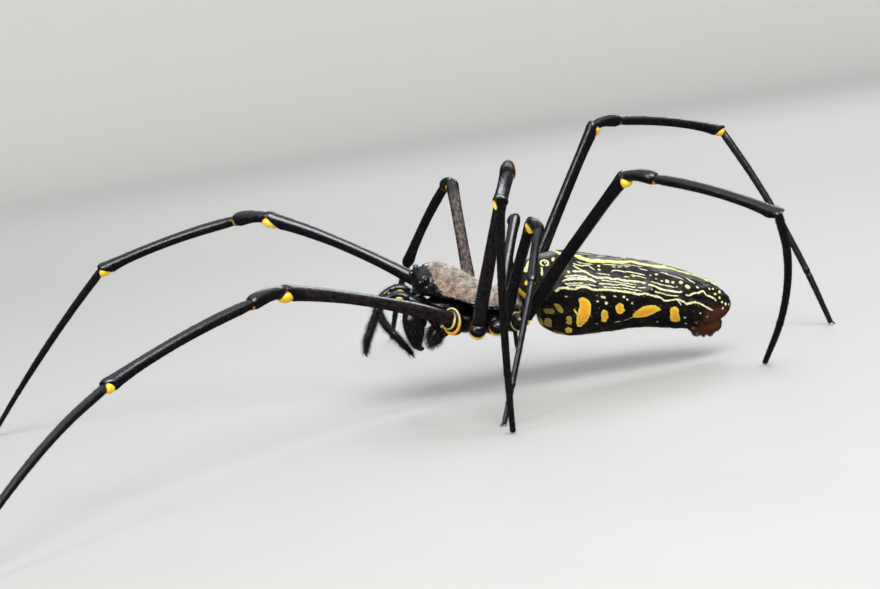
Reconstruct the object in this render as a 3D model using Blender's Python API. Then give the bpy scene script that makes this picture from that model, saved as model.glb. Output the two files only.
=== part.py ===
# Golden silk orb weaver, an adult female at life size, standing in a walking pose.
# Metres, +Z up. The spider faces -X, its left side is towards -Y, and its feet stand on Z = 0.
# The tables below are in millimetres and degrees.
from math import acos, asin, atan2, cos, pi, radians, sin

import bmesh
import bpy
from mathutils import Matrix, Vector

MM = 0.001
GAP = 0.3            # free space between two pieces that meet
EYE_GAP = 0.12       # the same under the tiny eyes

# the body's reference point is the waist, in the middle of the pedicel's height
BODY_PLACE = (18.85, 1.13, 11.0)     # puts the origin under the middle of the bounding box
BODY_PITCH = 9.0                    # nose up, tail low

# leg pairs 1 to 4: femur, patella, tibia, and metatarsus with tarsus
LEG_LENGTHS = {1: (26.0, 5.3, 20.5, 33.0), 2: (22.0, 5.1, 17.2, 28.3),
               3: (13.5, 3.2, 8.0, 17.6), 4: (25.4, 4.3, 16.5, 30.0)}
# thickness of the femur at its root, middle and end, then the patella, tibia, metatarsus and tarsus
LEG_WIDTHS = {1: (1.8, 1.5, 1.85, 1.85, 1.45, 1.12, 0.72), 2: (1.75, 1.55, 1.7, 1.8, 1.4, 1.08, 0.76),
              3: (1.6, 1.4, 1.5, 1.5, 1.15, 0.85, 0.65), 4: (1.8, 1.5, 1.6, 1.65, 1.3, 1.05, 0.78)}
# where the femur starts, in the body's frame: back, out to the side, up
HIPS = {1: (-10.4, 5.6, -0.95), 2: (-6.9, 6.6, -2.1), 3: (-3.6, 6.3, -2.1), 4: (-0.9, 5.4, -1.5)}
HIP_RISES = {"left_1": -0.6, "right_1": 0.5}     # a hip lower or higher than its pair's, as the leg is turned
# where the coxa starts beside the sternum
COXA_ROOTS = {1: (-9.3, 3.0, -2.5), 2: (-7.3, 3.0, -2.6), 3: (-5.2, 3.0, -2.6), 4: (-3.2, 2.7, -2.5)}
# directions as (turn, rise): a turn of 0 points straight out to the side and 90 points forward.
# femur, patella, tibia, then the metatarsus's turn alone, since its foot has to reach the floor
LEG_POSES = {
    "left_1": ((49.5, 18.4), (42.5, -3.8), (52.7, -14.5), 28.0),
    "right_1": ((84.9, 32.7), (56.8, 0.8), (76.2, -11.6), 61.8),
    "left_2": ((-35.4, 60.8), (4.5, -8.1), (6.9, -5.4), 165.9),
    "right_2": ((0.4, 46.0), (10.8, -5.0), (32.9, -40.3), 11.1),
    "left_3": ((-57.8, 64.1), (-12.0, -12.7), (20.6, -42.4), 45.8),
    "right_3": ((-31.8, 54.4), (5.8, -15.1), (16.4, -55.9), 0.4),
    "left_4": ((-43.4, 40.7), (-52.2, -8.7), (-46.9, -18.0), -179.8),
    "right_4": ((-86.3, 59.2), (-57.1, 0.5), (-63.7, -13.5), -120.0),
}
# how far the middle of the metatarsus bows away from a straight line, as (back, up)
FOOT_BOWS = {"left_1": (0.0, 1.6), "right_1": (0.0, 0.7), "left_2": (-0.3, 0.3), "right_2": (0.0, 0.8),
             "left_3": (0.2, 0.4), "right_3": (0.0, 0.5), "left_4": (1.9, 0.3), "right_4": (0.7, 0.5)}
# how far the other lengths arch upwards in their middle
FEMUR_ARCHES = {"left_1": 0.6, "right_1": 1.0}
ARCHES = {"femur": 0.25, "patella": 0.25, "tibia": 0.5}

# body forms as stations: back, half width, top, widest level, bottom
CARAPACE_ENDS = ((-15.2, 2.2), (-1.2, -0.75))
CARAPACE = ((-14.4, 2.7, 4.15, 1.9, 0.75), (-13.2, 3.7, 4.75, 1.5, 0.6), (-11.8, 4.1, 4.8, 1.1, 0.45),
            (-9.5, 4.7, 4.0, 0.7, 0.1), (-7.3, 5.6, 2.7, 0.1, -0.35), (-5.0, 5.8, 1.8, -0.2, -0.65),
            (-2.8, 4.6, 1.1, -0.45, -0.85), (-1.6, 2.6, 0.2, -0.6, -0.95))
STERNUM_ENDS = ((-11.2, -2.2), (-1.95, -2.3))
STERNUM = ((-10.4, 1.5, -0.7, -2.3, -3.7), (-8.4, 2.45, -0.75, -2.4, -4.1),
           (-5.6, 2.5, -1.1, -2.4, -4.2), (-3.2, 1.8, -1.3, -2.4, -3.7))
ABDOMEN_ENDS = ((-2.1, 1.9), (25.8, -0.5))
ABDOMEN = ((-1.3, 2.2, 4.3, 2.0, 0.5), (0.4, 3.4, 5.7, 2.0, -0.9), (1.5, 4.4, 6.0, 1.7, -3.3),
           (4.6, 5.7, 6.4, 1.3, -4.5), (9.6, 5.9, 5.65, 1.0, -4.05), (14.2, 5.6, 5.1, 0.8, -3.45),
           (18.8, 4.9, 4.0, 0.2, -3.6), (22.2, 3.8, 2.75, -0.5, -3.45), (24.4, 2.3, 1.45, -0.6, -2.5))

HORNS = (-10.6, 1.5, 4.15, 0.45, 0.3)        # back, aside, up, radius and height of the two small horns
HORN_TIP = 0.3                              # the horn's tip as a share of its radius
EYE_MOUND = (-14.1, 0.0, 3.45, 1.2)         # back, aside, up and radius
MOUND_SQUASH = 0.85                         # the mound's height as a share of its width
EYE_TUBERCLE = (-13.5, 3.05, 2.75, 0.7)
# eye: the mound it sits on, the direction it looks in, its radius
EYES = {
    "front_median": ("mound", (-0.88, 0.46, 0.02), 0.34),
    "rear_median": ("mound", (-0.52, 0.5, 0.7), 0.32),
    "front_lateral": ("tubercle", (-0.8, 0.55, -0.2), 0.26),
    "rear_lateral": ("tubercle", (-0.3, 0.78, 0.55), 0.26),
}

CHELICERA_PATH = ((-13.5, 1.6, -1.35), (-14.75, 1.65, -2.3), (-14.75, 1.6, -4.0), (-14.55, 1.45, -5.3),
                  (-14.3, 1.25, -6.1))
CHELICERA_RADII = (1.2, 1.4, 1.18, 0.85, 0.35)
FANG_PATH = ((-14.6, 1.5, -5.5), (-14.1, 0.95, -6.2), (-13.6, 0.5, -6.25))
FANG_RADII = (0.4, 0.28, 0.12)
MAXILLA_PATH = ((-10.4, 0.9, -3.0), (-11.7, 1.15, -4.0), (-12.4, 1.2, -5.0), (-12.7, 1.15, -5.65))
MAXILLA_RADII = (0.9, 0.95, 0.85, 0.6)
LIP_PLACE, LIP_HALF = (-11.4, 0.0, -3.7), (1.0, 0.7, 0.9)       # the lower lip between the maxillae
THROAT_PLACE, THROAT_HALF = (-10.8, 0.0, -0.95), (1.3, 2.3, 0.9)      # the soft mass under the head
PALP_FEMUR = ((-11.7, 2.7, -3.6), (-12.6, 3.3, -2.2), (-13.9, 3.85, -0.6), (-15.3, 3.9, 0.5),
              (-16.8, 3.8, 1.1), (-18.3, 3.6, 0.6), (-19.3, 3.4, -0.6), (-19.7, 3.3, -1.5))
PALP_FEMUR_RADII = (0.4, 0.45, 0.5, 0.58, 0.56, 0.52, 0.56, 0.5)
PALP_TIBIA = {
    "left": ((-19.3, 3.4, -0.6), (-19.7, 3.3, -1.5), (-20.3, 3.1, -3.2), (-20.85, 2.9, -5.0),
             (-21.0, 2.8, -6.5)),
    "right": ((-19.3, 3.4, -0.6), (-19.6, 3.3, -1.5), (-18.6, 3.0, -3.6), (-16.8, 2.6, -5.5),
              (-15.0, 2.3, -7.4)),
}
PALP_TIBIA_RADII = (0.5, 0.5, 0.5, 0.44, 0.28)
PALP_BEND = 0.5                             # the palp's joint lies this far past its knee

PEDICEL = (-1.55, -0.15, 0.8, -2.0)         # front, rear, radius and height
SPINNERET_BASE = (22.15, 0.0, -3.6)
SPINNERET_HALF = (1.9, 1.75, 1.0)
SPINNERET_SLOPE = 12.0                      # the slope of the abdomen's underside there, tail up
SPINNERET_TIP = 0.5                         # a cone's tip as a share of its radius
# the cones on one side: root, tip and radius
SPINNERETS = (((21.2, 0.75, -4.0), (21.1, 0.7, -4.75), 0.42), ((22.3, 0.4, -4.2), (22.4, 0.4, -4.75), 0.28),
              ((23.1, 0.65, -3.9), (23.4, 0.6, -4.65), 0.36))

# colour, roughness
FINISHES = {"black_cuticle": ((0.012, 0.012, 0.014), 0.22), "silvery_down": ((0.30, 0.25, 0.21), 0.85),
            "banded_abdomen": ((0.05, 0.045, 0.02), 0.3), "eye_lens": ((0.005, 0.005, 0.006), 0.05),
            "brown_cuticle": ((0.07, 0.025, 0.015), 0.35)}

SIDES = {"left": -1, "right": 1}


# Values along a form

def slopes(xs, ys):
    # gradients of a curve through the points that never overshoots them
    steps = [(ys[i + 1] - ys[i]) / (xs[i + 1] - xs[i]) for i in range(len(xs) - 1)]
    middle = [0.0 if a * b <= 0 else 2 * a * b / (a + b) for a, b in zip(steps, steps[1:])]
    return [steps[0]] + middle + [steps[-1]]


def smooth_value(x, xs, ys):
    grads = slopes(xs, ys)
    i = max(k for k in range(len(xs) - 1) if k == 0 or xs[k] <= x)
    h = xs[i + 1] - xs[i]
    t = (x - xs[i]) / h
    a, b = ys[i], ys[i + 1]
    return (a * (1 + 2 * t) * (1 - t) ** 2 + grads[i] * h * t * (1 - t) ** 2
            + b * t * t * (3 - 2 * t) + grads[i + 1] * h * t * t * (t - 1))


def smooth_path(points, samples):
    # points on a Catmull-Rom curve through the given ones, each with its place from 0 to 1
    pts = [Vector(p) for p in points]
    pts = [2 * pts[0] - pts[1]] + pts + [2 * pts[-1] - pts[-2]]
    spans = len(pts) - 3
    path = []
    for k in range(samples + 1):
        place = k / samples * spans
        i = min(int(place), spans - 1)
        t = place - i
        p0, p1, p2, p3 = pts[i:i + 4]
        path.append(0.5 * (2 * p1 + (p2 - p0) * t + (2 * p0 - 5 * p1 + 4 * p2 - p3) * t * t
                           + (3 * p1 - p0 - 3 * p2 + p3) * t ** 3))
    return path


# Meshes in millimetres, made into objects in metres

def face_out(bm):
    bmesh.ops.recalc_face_normals(bm, faces=bm.faces)
    if bm.calc_volume(signed=True) < 0:
        bmesh.ops.reverse_faces(bm, faces=bm.faces)


def ball(segments, rings):
    bm = bmesh.new()
    bmesh.ops.create_uvsphere(bm, u_segments=segments, v_segments=rings, radius=1.0)
    return bm


def stationed_form(ends, stations, segments, rings):
    # a ball drawn out along the body, its rings sized by the stations
    (start, start_level), (stop, stop_level) = ends
    middle, half = (start + stop) / 2, (stop - start) / 2
    angles = [0.0] + [acos((middle - s[0]) / half) for s in stations] + [pi]
    widths = [0.0] + [s[1] for s in stations] + [0.0]
    tops = [0.0] + [s[2] - s[3] for s in stations] + [0.0]
    levels = [start_level] + [s[3] for s in stations] + [stop_level]
    bottoms = [0.0] + [s[3] - s[4] for s in stations] + [0.0]
    bm = ball(segments, rings)
    for v in bm.verts:
        angle = acos(max(-1.0, min(1.0, v.co.z)))
        around = atan2(v.co.y, v.co.x)
        rise = smooth_value(angle, angles, tops if v.co.y > 0 else bottoms)
        v.co = (middle - half * cos(angle), smooth_value(angle, angles, widths) * cos(around),
                smooth_value(angle, angles, levels) + rise * sin(around))
    face_out(bm)
    return bm


def ellipsoid(centre, half_sizes, segments, rings):
    bm = ball(segments, rings)
    bm.transform(Matrix.Translation(centre) @ Matrix.Diagonal((*half_sizes, 1.0)))
    return bm


def tube(points, radii, samples=10, sides=10, tall=1.0):
    # a bevelled curve with its own radius at each point, as a closed mesh; tall stretches its height
    path = smooth_path(points, samples)
    places = [k / (len(radii) - 1) for k in range(len(radii))]
    curve = bpy.data.curves.new("guide", "CURVE")
    curve.dimensions = "3D"
    curve.bevel_depth = 1.0
    curve.bevel_resolution = sides // 2 - 2
    curve.use_fill_caps = True
    spline = curve.splines.new("POLY")
    spline.points.add(samples)
    for k, (point, co) in enumerate(zip(spline.points, path)):
        point.co = (co.x, co.y, co.z / tall, 1.0)
        point.radius = smooth_value(k / samples, places, radii)
    guide = bpy.data.objects.new("guide", curve)
    bpy.context.scene.collection.objects.link(guide)
    mesh = bpy.data.meshes.new_from_object(guide.evaluated_get(bpy.context.evaluated_depsgraph_get()))
    bm = bmesh.new()
    bm.from_mesh(mesh)
    bpy.data.objects.remove(guide)
    bpy.data.curves.remove(curve)
    bpy.data.meshes.remove(mesh)
    bmesh.ops.remove_doubles(bm, verts=bm.verts, dist=1e-4)
    bm.transform(Matrix.Diagonal((1.0, 1.0, tall, 1.0)))
    face_out(bm)
    return bm


def cut(bm, point, normal):
    # takes away what lies on the side that the normal points to, and closes the cut
    geometry = bm.verts[:] + bm.edges[:] + bm.faces[:]
    bmesh.ops.bisect_plane(bm, geom=geometry, plane_co=point, plane_no=normal, clear_outer=True)
    rim = [e for e in bm.edges if e.is_boundary]
    bmesh.ops.edgeloop_fill(bm, edges=rim)
    face_out(bm)


def mirrored(points, side):
    return [(p[0], side * p[1], p[2]) for p in points]


def bare_object(name, bm):
    mesh = bpy.data.meshes.new(name)
    bm.to_mesh(mesh)
    bm.free()
    return bpy.data.objects.new(name, mesh)


def fuse(forms):
    # one closed mesh from several that overlap
    pieces = [bare_object("piece", bm) for bm in forms]
    group = bpy.data.collections.new("to_fuse")
    bpy.context.scene.collection.children.link(group)
    for piece in pieces[1:]:
        group.objects.link(piece)
    base = pieces[0]
    bpy.context.scene.collection.objects.link(base)
    union = base.modifiers.new("union", "BOOLEAN")
    union.operation = "UNION"
    union.operand_type = "COLLECTION"
    union.collection = group
    bpy.context.view_layer.update()
    mesh = bpy.data.meshes.new_from_object(base.evaluated_get(bpy.context.evaluated_depsgraph_get()))
    fused = bmesh.new()
    fused.from_mesh(mesh)
    for piece in pieces:
        bpy.data.objects.remove(piece)
    bpy.data.collections.remove(group)
    bpy.data.meshes.remove(mesh)
    keep_largest(fused)
    return fused


def keep_largest(bm):
    # drops every closed surface but the one with the most faces
    bmesh.ops.remove_doubles(bm, verts=bm.verts, dist=1e-4)
    left = set(bm.verts)
    shells = []
    while left:
        shell, front = set(), [left.pop()]
        while front:
            v = front.pop()
            shell.add(v)
            fresh = [e.other_vert(v) for e in v.link_edges if e.other_vert(v) in left]
            left.difference_update(fresh)
            front.extend(fresh)
        shells.append(shell)
    largest = max(shells, key=len)
    bmesh.ops.delete(bm, geom=[v for v in bm.verts if v not in largest], context="VERTS")


def finish_material(name):
    material = bpy.data.materials.get(name)
    if material is None:
        material = bpy.data.materials.new(name)
        material.use_nodes = True
        shader = material.node_tree.nodes["Principled BSDF"]
        colour, roughness = FINISHES[name]
        shader.inputs["Base Color"].default_value = (*colour, 1.0)
        shader.inputs["Roughness"].default_value = roughness
        shader.inputs["Metallic"].default_value = 0.0
        material.diffuse_color = (*colour, 1.0)
    return material


def add_piece(name, bm, finish, parent, collection):
    bm.transform(Matrix.Scale(MM, 4))
    piece = bare_object(name, bm)
    piece.data.materials.append(finish_material(finish))
    piece.data.shade_smooth()
    piece.data.set_sharp_from_angle(angle=radians(40))
    piece.parent = parent
    collection.objects.link(piece)
    return piece


# The body

def head_bumps():
    # the eye mound, the two side tubercles and the two horns, all fused to the carapace
    back, _, up, radius = EYE_MOUND
    bumps = [ellipsoid((back, 0.0, up), (radius, radius, radius * MOUND_SQUASH), 16, 10)]
    for side in SIDES.values():
        back, aside, up, radius = EYE_TUBERCLE
        bumps.append(ellipsoid((back, side * aside, up), (radius,) * 3, 12, 8))
        back, aside, up, radius, height = HORNS
        horn = ((back, side * aside, up - height / 2), (back, side * aside, up + height))
        bumps.append(tube(horn, (radius, radius, radius * HORN_TIP), samples=4, sides=8))
    return bumps


def make_carapace(parent, collection):
    dome = stationed_form(CARAPACE_ENDS, CARAPACE, 28, 18)
    add_piece("carapace", fuse([dome] + head_bumps()), "silvery_down", parent, collection)


def make_eyes(parent, collection):
    for side_name, side in SIDES.items():
        for eye, (seat, look, radius) in EYES.items():
            back, aside, up, seat_radius = EYE_MOUND if seat == "mound" else EYE_TUBERCLE
            squash = MOUND_SQUASH if seat == "mound" else 1.0
            aim = Vector((look[0], side * look[1], look[2])).normalized()
            # the seat is an ellipsoid, so the distance to its skin depends on the direction
            reach = seat_radius / (aim.x ** 2 + aim.y ** 2 + (aim.z / squash) ** 2) ** 0.5
            place = Vector((back, side * aside, up)) + aim * (reach + EYE_GAP)
            bm = ellipsoid(place, (radius,) * 3, 10, 6)
            cut(bm, place, -aim)
            add_piece(f"eye_{side_name}_{eye}", bm, "eye_lens", parent, collection)


def make_sternum(parent, collection):
    # the breast plate's block with the two maxillae, the lip between them and the throat above
    forms = [stationed_form(STERNUM_ENDS, STERNUM, 20, 14)]
    for side in SIDES.values():
        forms.append(tube(mirrored(MAXILLA_PATH, side), MAXILLA_RADII, samples=6))
    forms.append(ellipsoid(LIP_PLACE, LIP_HALF, 12, 8))
    forms.append(ellipsoid(THROAT_PLACE, THROAT_HALF, 14, 9))
    add_piece("sternum", fuse(forms), "black_cuticle", parent, collection)


def make_chelicerae(parent, collection):
    for side_name, side in SIDES.items():
        base = tube(mirrored(CHELICERA_PATH, side), CHELICERA_RADII, samples=9, sides=12)
        fang = tube(mirrored(FANG_PATH, side), FANG_RADII, samples=4, sides=8)
        add_piece(f"chelicera_{side_name}", fuse([base, fang]), "black_cuticle", parent, collection)


def make_palps(parent, collection):
    for side_name, side in SIDES.items():
        upper = mirrored(PALP_FEMUR, side)
        lower = mirrored(PALP_TIBIA[side_name], side)
        knee = Vector(upper[-2])
        along = (Vector(upper[-1]) - Vector(upper[-2])).normalized()
        onward = (Vector(lower[2]) - Vector(lower[1])).normalized()
        turn = (along + onward).normalized()
        joint = knee + along * PALP_BEND
        femur = tube(upper, PALP_FEMUR_RADII, samples=12)
        cut(femur, joint - turn * GAP / 2, turn)
        tibia = tube(lower, PALP_TIBIA_RADII, samples=8)
        cut(tibia, joint + turn * GAP / 2, -turn)
        add_piece(f"palp_{side_name}_femur", femur, "black_cuticle", parent, collection)
        add_piece(f"palp_{side_name}_tibia", tibia, "black_cuticle", parent, collection)


def make_pedicel(parent, collection):
    # the narrow waist, a little thinner in its middle
    front, rear, radius, level = PEDICEL
    waist = tube(((front, 0, level), (rear, 0, level)), (radius, radius * 0.8, radius), samples=4)
    add_piece("pedicel", waist, "black_cuticle", parent, collection)


def make_abdomen(parent, collection):
    form = stationed_form(ABDOMEN_ENDS, ABDOMEN, 32, 22)
    add_piece("abdomen", form, "banded_abdomen", parent, collection)


def make_spinnerets(parent, collection):
    # three pairs of cones on a low mound, cut flat on top where the abdomen's underside passes
    forms = [ellipsoid(SPINNERET_BASE, SPINNERET_HALF, 18, 12)]
    for start, stop, radius in SPINNERETS:
        radii = (radius, radius, radius * SPINNERET_TIP)
        for side in SIDES.values():
            forms.append(tube(mirrored((start, stop), side), radii, samples=3, sides=8))
    cluster = fuse(forms)
    slope = radians(SPINNERET_SLOPE)
    cut(cluster, SPINNERET_BASE, Vector((-sin(slope), 0.0, cos(slope))))
    add_piece("spinnerets", cluster, "brown_cuticle", parent, collection)


# The legs

def heading(side, turn, rise):
    turn, rise = radians(turn), radians(rise)
    return Vector((-sin(turn) * cos(rise), side * cos(turn) * cos(rise), sin(rise)))


def leg_joints(leg, side, pair, to_stance):
    # hip, knee, end of patella, end of tibia and foot, in the frame of the floor
    back, aside, up = HIPS[pair]
    hip = to_stance @ Vector((back, side * aside, up + HIP_RISES.get(leg, 0.0)))
    joints = [hip]
    *bends, last_turn = LEG_POSES[leg]
    for length, (turn, rise) in zip(LEG_LENGTHS[pair], bends):
        joints.append(joints[-1] + length * heading(side, turn, rise))
    foot_length = LEG_LENGTHS[pair][3]
    slope = -asin(joints[-1].z / foot_length)
    joints.append(joints[-1] + foot_length * heading(side, last_turn, slope * 180 / pi))
    return joints


def bowed(start, stop, lift):
    # a gently arched run of five points
    middle = (start + stop) / 2 + lift
    return [start, start.lerp(middle, 0.5) + lift * 0.25, middle, stop.lerp(middle, 0.5) + lift * 0.25, stop]


def overshoot(points, before, after):
    # carries a run straight on past its ends, for the cuts at the joints to take off
    first = points[0] + (points[0] - points[1]).normalized() * before
    last = points[-1] + (points[-1] - points[-2]).normalized() * after
    return [first] + points[1:-1] + [last]


def mitre(before, joint, after):
    return ((joint - before).normalized() + (after - joint).normalized()).normalized()


def make_coxa(leg, side, pair, hip, knee, to_stance, parent, collection):
    # the coxa is a barrel beside the sternum, the trochanter the ball at its end
    root = to_stance @ Vector(mirrored([COXA_ROOTS[pair]], side)[0])
    width = LEG_WIDTHS[pair][0] / 2
    aim = (knee - hip).normalized()
    seat = hip - aim * width * 0.75
    barrel = tube((root, root.lerp(seat, 0.5), seat), (0.78, 1.08, 1.1, 0.95), samples=5, tall=1.3)
    trochanter = ellipsoid(seat, (width * 1.02,) * 3, 12, 8)
    form = fuse([barrel, trochanter])
    cut(form, hip - aim * GAP / 2, aim)
    add_piece(f"leg_{leg}_coxa", form, "black_cuticle", parent, collection)


def make_leg(leg, side, pair, to_stance, parent, collection):
    joints = leg_joints(leg, side, pair, to_stance)
    make_coxa(leg, side, pair, *joints[:2], to_stance, parent, collection)
    root, middle, end, patella, tibia, metatarsus, tarsus = [w / 2 for w in LEG_WIDTHS[pair]]
    back, up = FOOT_BOWS[leg]
    lifts = {
        "femur": Vector((0, 0, FEMUR_ARCHES.get(leg, ARCHES["femur"]))),
        "patella": Vector((0, 0, ARCHES["patella"])),
        "tibia": Vector((0, 0, ARCHES["tibia"])),
        "foot": Vector((back, 0, up)),
    }
    radii_of = {
        "femur": (root * 0.92, root, middle * 1.03, middle, end * 0.93, end * 1.05),
        "patella": (patella * 0.92, patella * 0.95, patella, patella * 0.9),
        "tibia": (tibia * 0.85, tibia * 0.97, tibia * 0.94, tibia * 0.94, tibia * 1.15),
        "foot": (metatarsus, metatarsus * 0.88, metatarsus * 0.8, tarsus, tarsus * 0.85),
    }
    faces = [(joints[1] - joints[0]).normalized()] + [mitre(*joints[k - 1:k + 2]) for k in (1, 2, 3)]
    for k, (name, radii) in enumerate(radii_of.items()):
        start, stop, lift = joints[k], joints[k + 1], lifts[name]
        spare = 1.5 * max(radii)
        path = overshoot(bowed(start, stop, lift), 0.0 if k == 0 else spare, spare)
        bm = tube(path, radii, samples=5 if name == "patella" else 10)
        cut(bm, start + faces[k] * GAP / 2, -faces[k])
        if name == "foot":
            cut(bm, (0, 0, 0), (0, 0, -1))
        else:
            cut(bm, stop - faces[k + 1] * GAP / 2, faces[k + 1])
        add_piece(f"leg_{leg}_{name}", bm, "black_cuticle", parent, collection)


def clear_scene():
    for old in list(bpy.data.objects):
        bpy.data.objects.remove(old)


def main():
    clear_scene()
    collection = bpy.data.collections.new("golden_silk_orb_weaver")
    bpy.context.scene.collection.children.link(collection)
    stance = bpy.data.objects.new("stance", None)
    stance.location = (BODY_PLACE[0] * MM, BODY_PLACE[1] * MM, 0.0)
    body = bpy.data.objects.new("body", None)
    body.parent = stance
    body.location = (0.0, 0.0, BODY_PLACE[2] * MM)
    body.rotation_euler = (0.0, radians(BODY_PITCH), 0.0)
    for empty in (stance, body):
        collection.objects.link(empty)
    to_stance = Matrix.Translation((0, 0, BODY_PLACE[2])) @ Matrix.Rotation(radians(BODY_PITCH), 4, "Y")

    make_carapace(body, collection)
    make_eyes(body, collection)
    make_sternum(body, collection)
    make_chelicerae(body, collection)
    make_palps(body, collection)
    make_pedicel(body, collection)
    make_abdomen(body, collection)
    make_spinnerets(body, collection)
    for leg in LEG_POSES:
        side_name, pair = leg.split("_")
        make_leg(leg, SIDES[side_name], int(pair), to_stance, stance, collection)
    bpy.context.view_layer.update()


main()
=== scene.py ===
# Golden silk orb weaver, an adult female at life size in a walking pose, on a pale studio floor.
# The tables are in millimetres and degrees, and the meshes are made in metres. The spider faces -X.
# In the body's own frame a place is (back, aside, up), measured from the middle of the waist.
from math import acos, cos, pi, radians, sin

import bpy
import numpy as np
from mathutils import Matrix, Vector


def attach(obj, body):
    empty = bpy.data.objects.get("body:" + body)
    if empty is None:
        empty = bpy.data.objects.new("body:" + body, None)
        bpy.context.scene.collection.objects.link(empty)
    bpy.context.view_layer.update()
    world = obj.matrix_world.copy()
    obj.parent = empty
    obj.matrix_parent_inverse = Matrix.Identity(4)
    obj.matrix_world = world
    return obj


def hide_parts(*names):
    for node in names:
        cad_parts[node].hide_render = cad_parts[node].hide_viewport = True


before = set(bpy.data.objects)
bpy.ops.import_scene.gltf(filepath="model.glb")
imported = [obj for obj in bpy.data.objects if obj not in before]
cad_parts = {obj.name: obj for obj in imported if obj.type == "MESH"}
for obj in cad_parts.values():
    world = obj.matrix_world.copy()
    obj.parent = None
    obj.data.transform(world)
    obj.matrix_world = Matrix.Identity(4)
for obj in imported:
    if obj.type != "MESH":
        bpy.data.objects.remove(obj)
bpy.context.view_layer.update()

millimetre = 0.001
sideSigns = {"left": -1, "right": 1}
rng = np.random.default_rng(5723)

stance = {"place": (18.85, 1.13, 11.0), "pitch": 9.0}


# Smooth curves through a few values

def smoothValue(x, xs, ys):
    # never overshoots the values it runs through
    x, xs, ys = np.asarray(x, float), np.asarray(xs, float), np.asarray(ys, float)
    steps = np.diff(ys) / np.diff(xs)
    before, after = steps[:-1], steps[1:]
    total = np.where(before + after == 0, 1.0, before + after)
    middle = np.where(before * after > 0, 2 * before * after / total, 0.0)
    grads = np.concatenate([steps[:1], middle, steps[-1:]])
    i = np.clip(np.searchsorted(xs, x, side="right") - 1, 0, len(xs) - 2)
    h = xs[i + 1] - xs[i]
    t = (x - xs[i]) / h
    return (ys[i] * (1 + 2 * t) * (1 - t) ** 2 + grads[i] * h * t * (1 - t) ** 2
            + ys[i + 1] * t * t * (3 - 2 * t) + grads[i + 1] * h * t * t * (t - 1))


def smoothPath(points, samples):
    # a Catmull-Rom curve through the points, whatever they hold beside their place
    pts = np.asarray(points, float)
    pts = np.vstack([2 * pts[0] - pts[1], pts, 2 * pts[-1] - pts[-2]])
    place = np.linspace(0, len(pts) - 3, samples + 1)
    i = np.minimum(place.astype(int), len(pts) - 4)
    t = (place - i)[:, None]
    p0, p1, p2, p3 = pts[i], pts[i + 1], pts[i + 2], pts[i + 3]
    return 0.5 * (2 * p1 + (p2 - p0) * t + (2 * p0 - 5 * p1 + 4 * p2 - p3) * t * t
                  + (3 * p1 - p0 - 3 * p2 + p3) * t ** 3)


def evenPath(points, step):
    # the same curve, resampled to even steps, with the length run so far at each point
    path = smoothPath(points, 40 * (len(points) - 1))
    run = np.concatenate([[0], np.cumsum(np.linalg.norm(np.diff(path, axis=0), axis=1))])
    count = max(6, int(run[-1] / step))
    even = np.linspace(0, run[-1], count + 1)
    return np.stack([np.interp(even, run, path[:, k]) for k in range(path.shape[1])], -1), even


def unit(v):
    v = np.asarray(v, float)
    return v / np.maximum(np.linalg.norm(v, axis=-1, keepdims=True), 1e-12)


def softStep(x, low, high):
    t = np.clip((x - low) / (high - low), 0, 1)
    return t * t * (3 - 2 * t)


def ripple(points, wave, seed, layers=7):
    # smooth noise between about -1 and 1 from crossed waves of nearly one length
    draw = np.random.default_rng(seed)
    value = 0.0
    for _ in range(layers):
        way = unit(draw.normal(size=points.shape[-1]))
        value = value + np.sin(points @ way * (2 * pi / wave) * draw.uniform(0.7, 1.4) + draw.uniform(0, 2 * pi))
    return value / layers ** 0.5 / 1.2


def bodyToFloor(points):
    p = np.asarray(points, float)
    c, s = cos(radians(stance["pitch"])), sin(radians(stance["pitch"]))
    x, y, z = stance["place"]
    return np.stack([p[..., 0] * c + p[..., 2] * s + x, p[..., 1] + y, -p[..., 0] * s + p[..., 2] * c + z], -1)


def mirrored(points, side):
    return [(p[0], side * p[1], p[2]) for p in points]


# Skins from rings of points, and hairs, gathered in a shape and made into one mesh

def newShape():
    return {"points": [], "corners": [], "sizes": [], "slots": [], "places": [], "marks": {}, "count": 0}


def addFaces(shape, points, faces, places, slot, marks):
    # faces: a list of index arrays, one for each number of corners; places: their spots on the bake map
    for indices, spots in zip(faces, places):
        shape["corners"].append((indices + shape["count"]).ravel())
        shape["sizes"].append(np.full(len(indices), indices.shape[1]))
        shape["slots"].append(np.full(len(indices), slot))
        shape["places"].append(spots.reshape(-1, 2))
    for name, value in marks.items():
        shape["marks"].setdefault(name, []).append((shape["count"], np.asarray(value, float)))
    shape["points"].append(points)
    shape["count"] += len(points)


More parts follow.
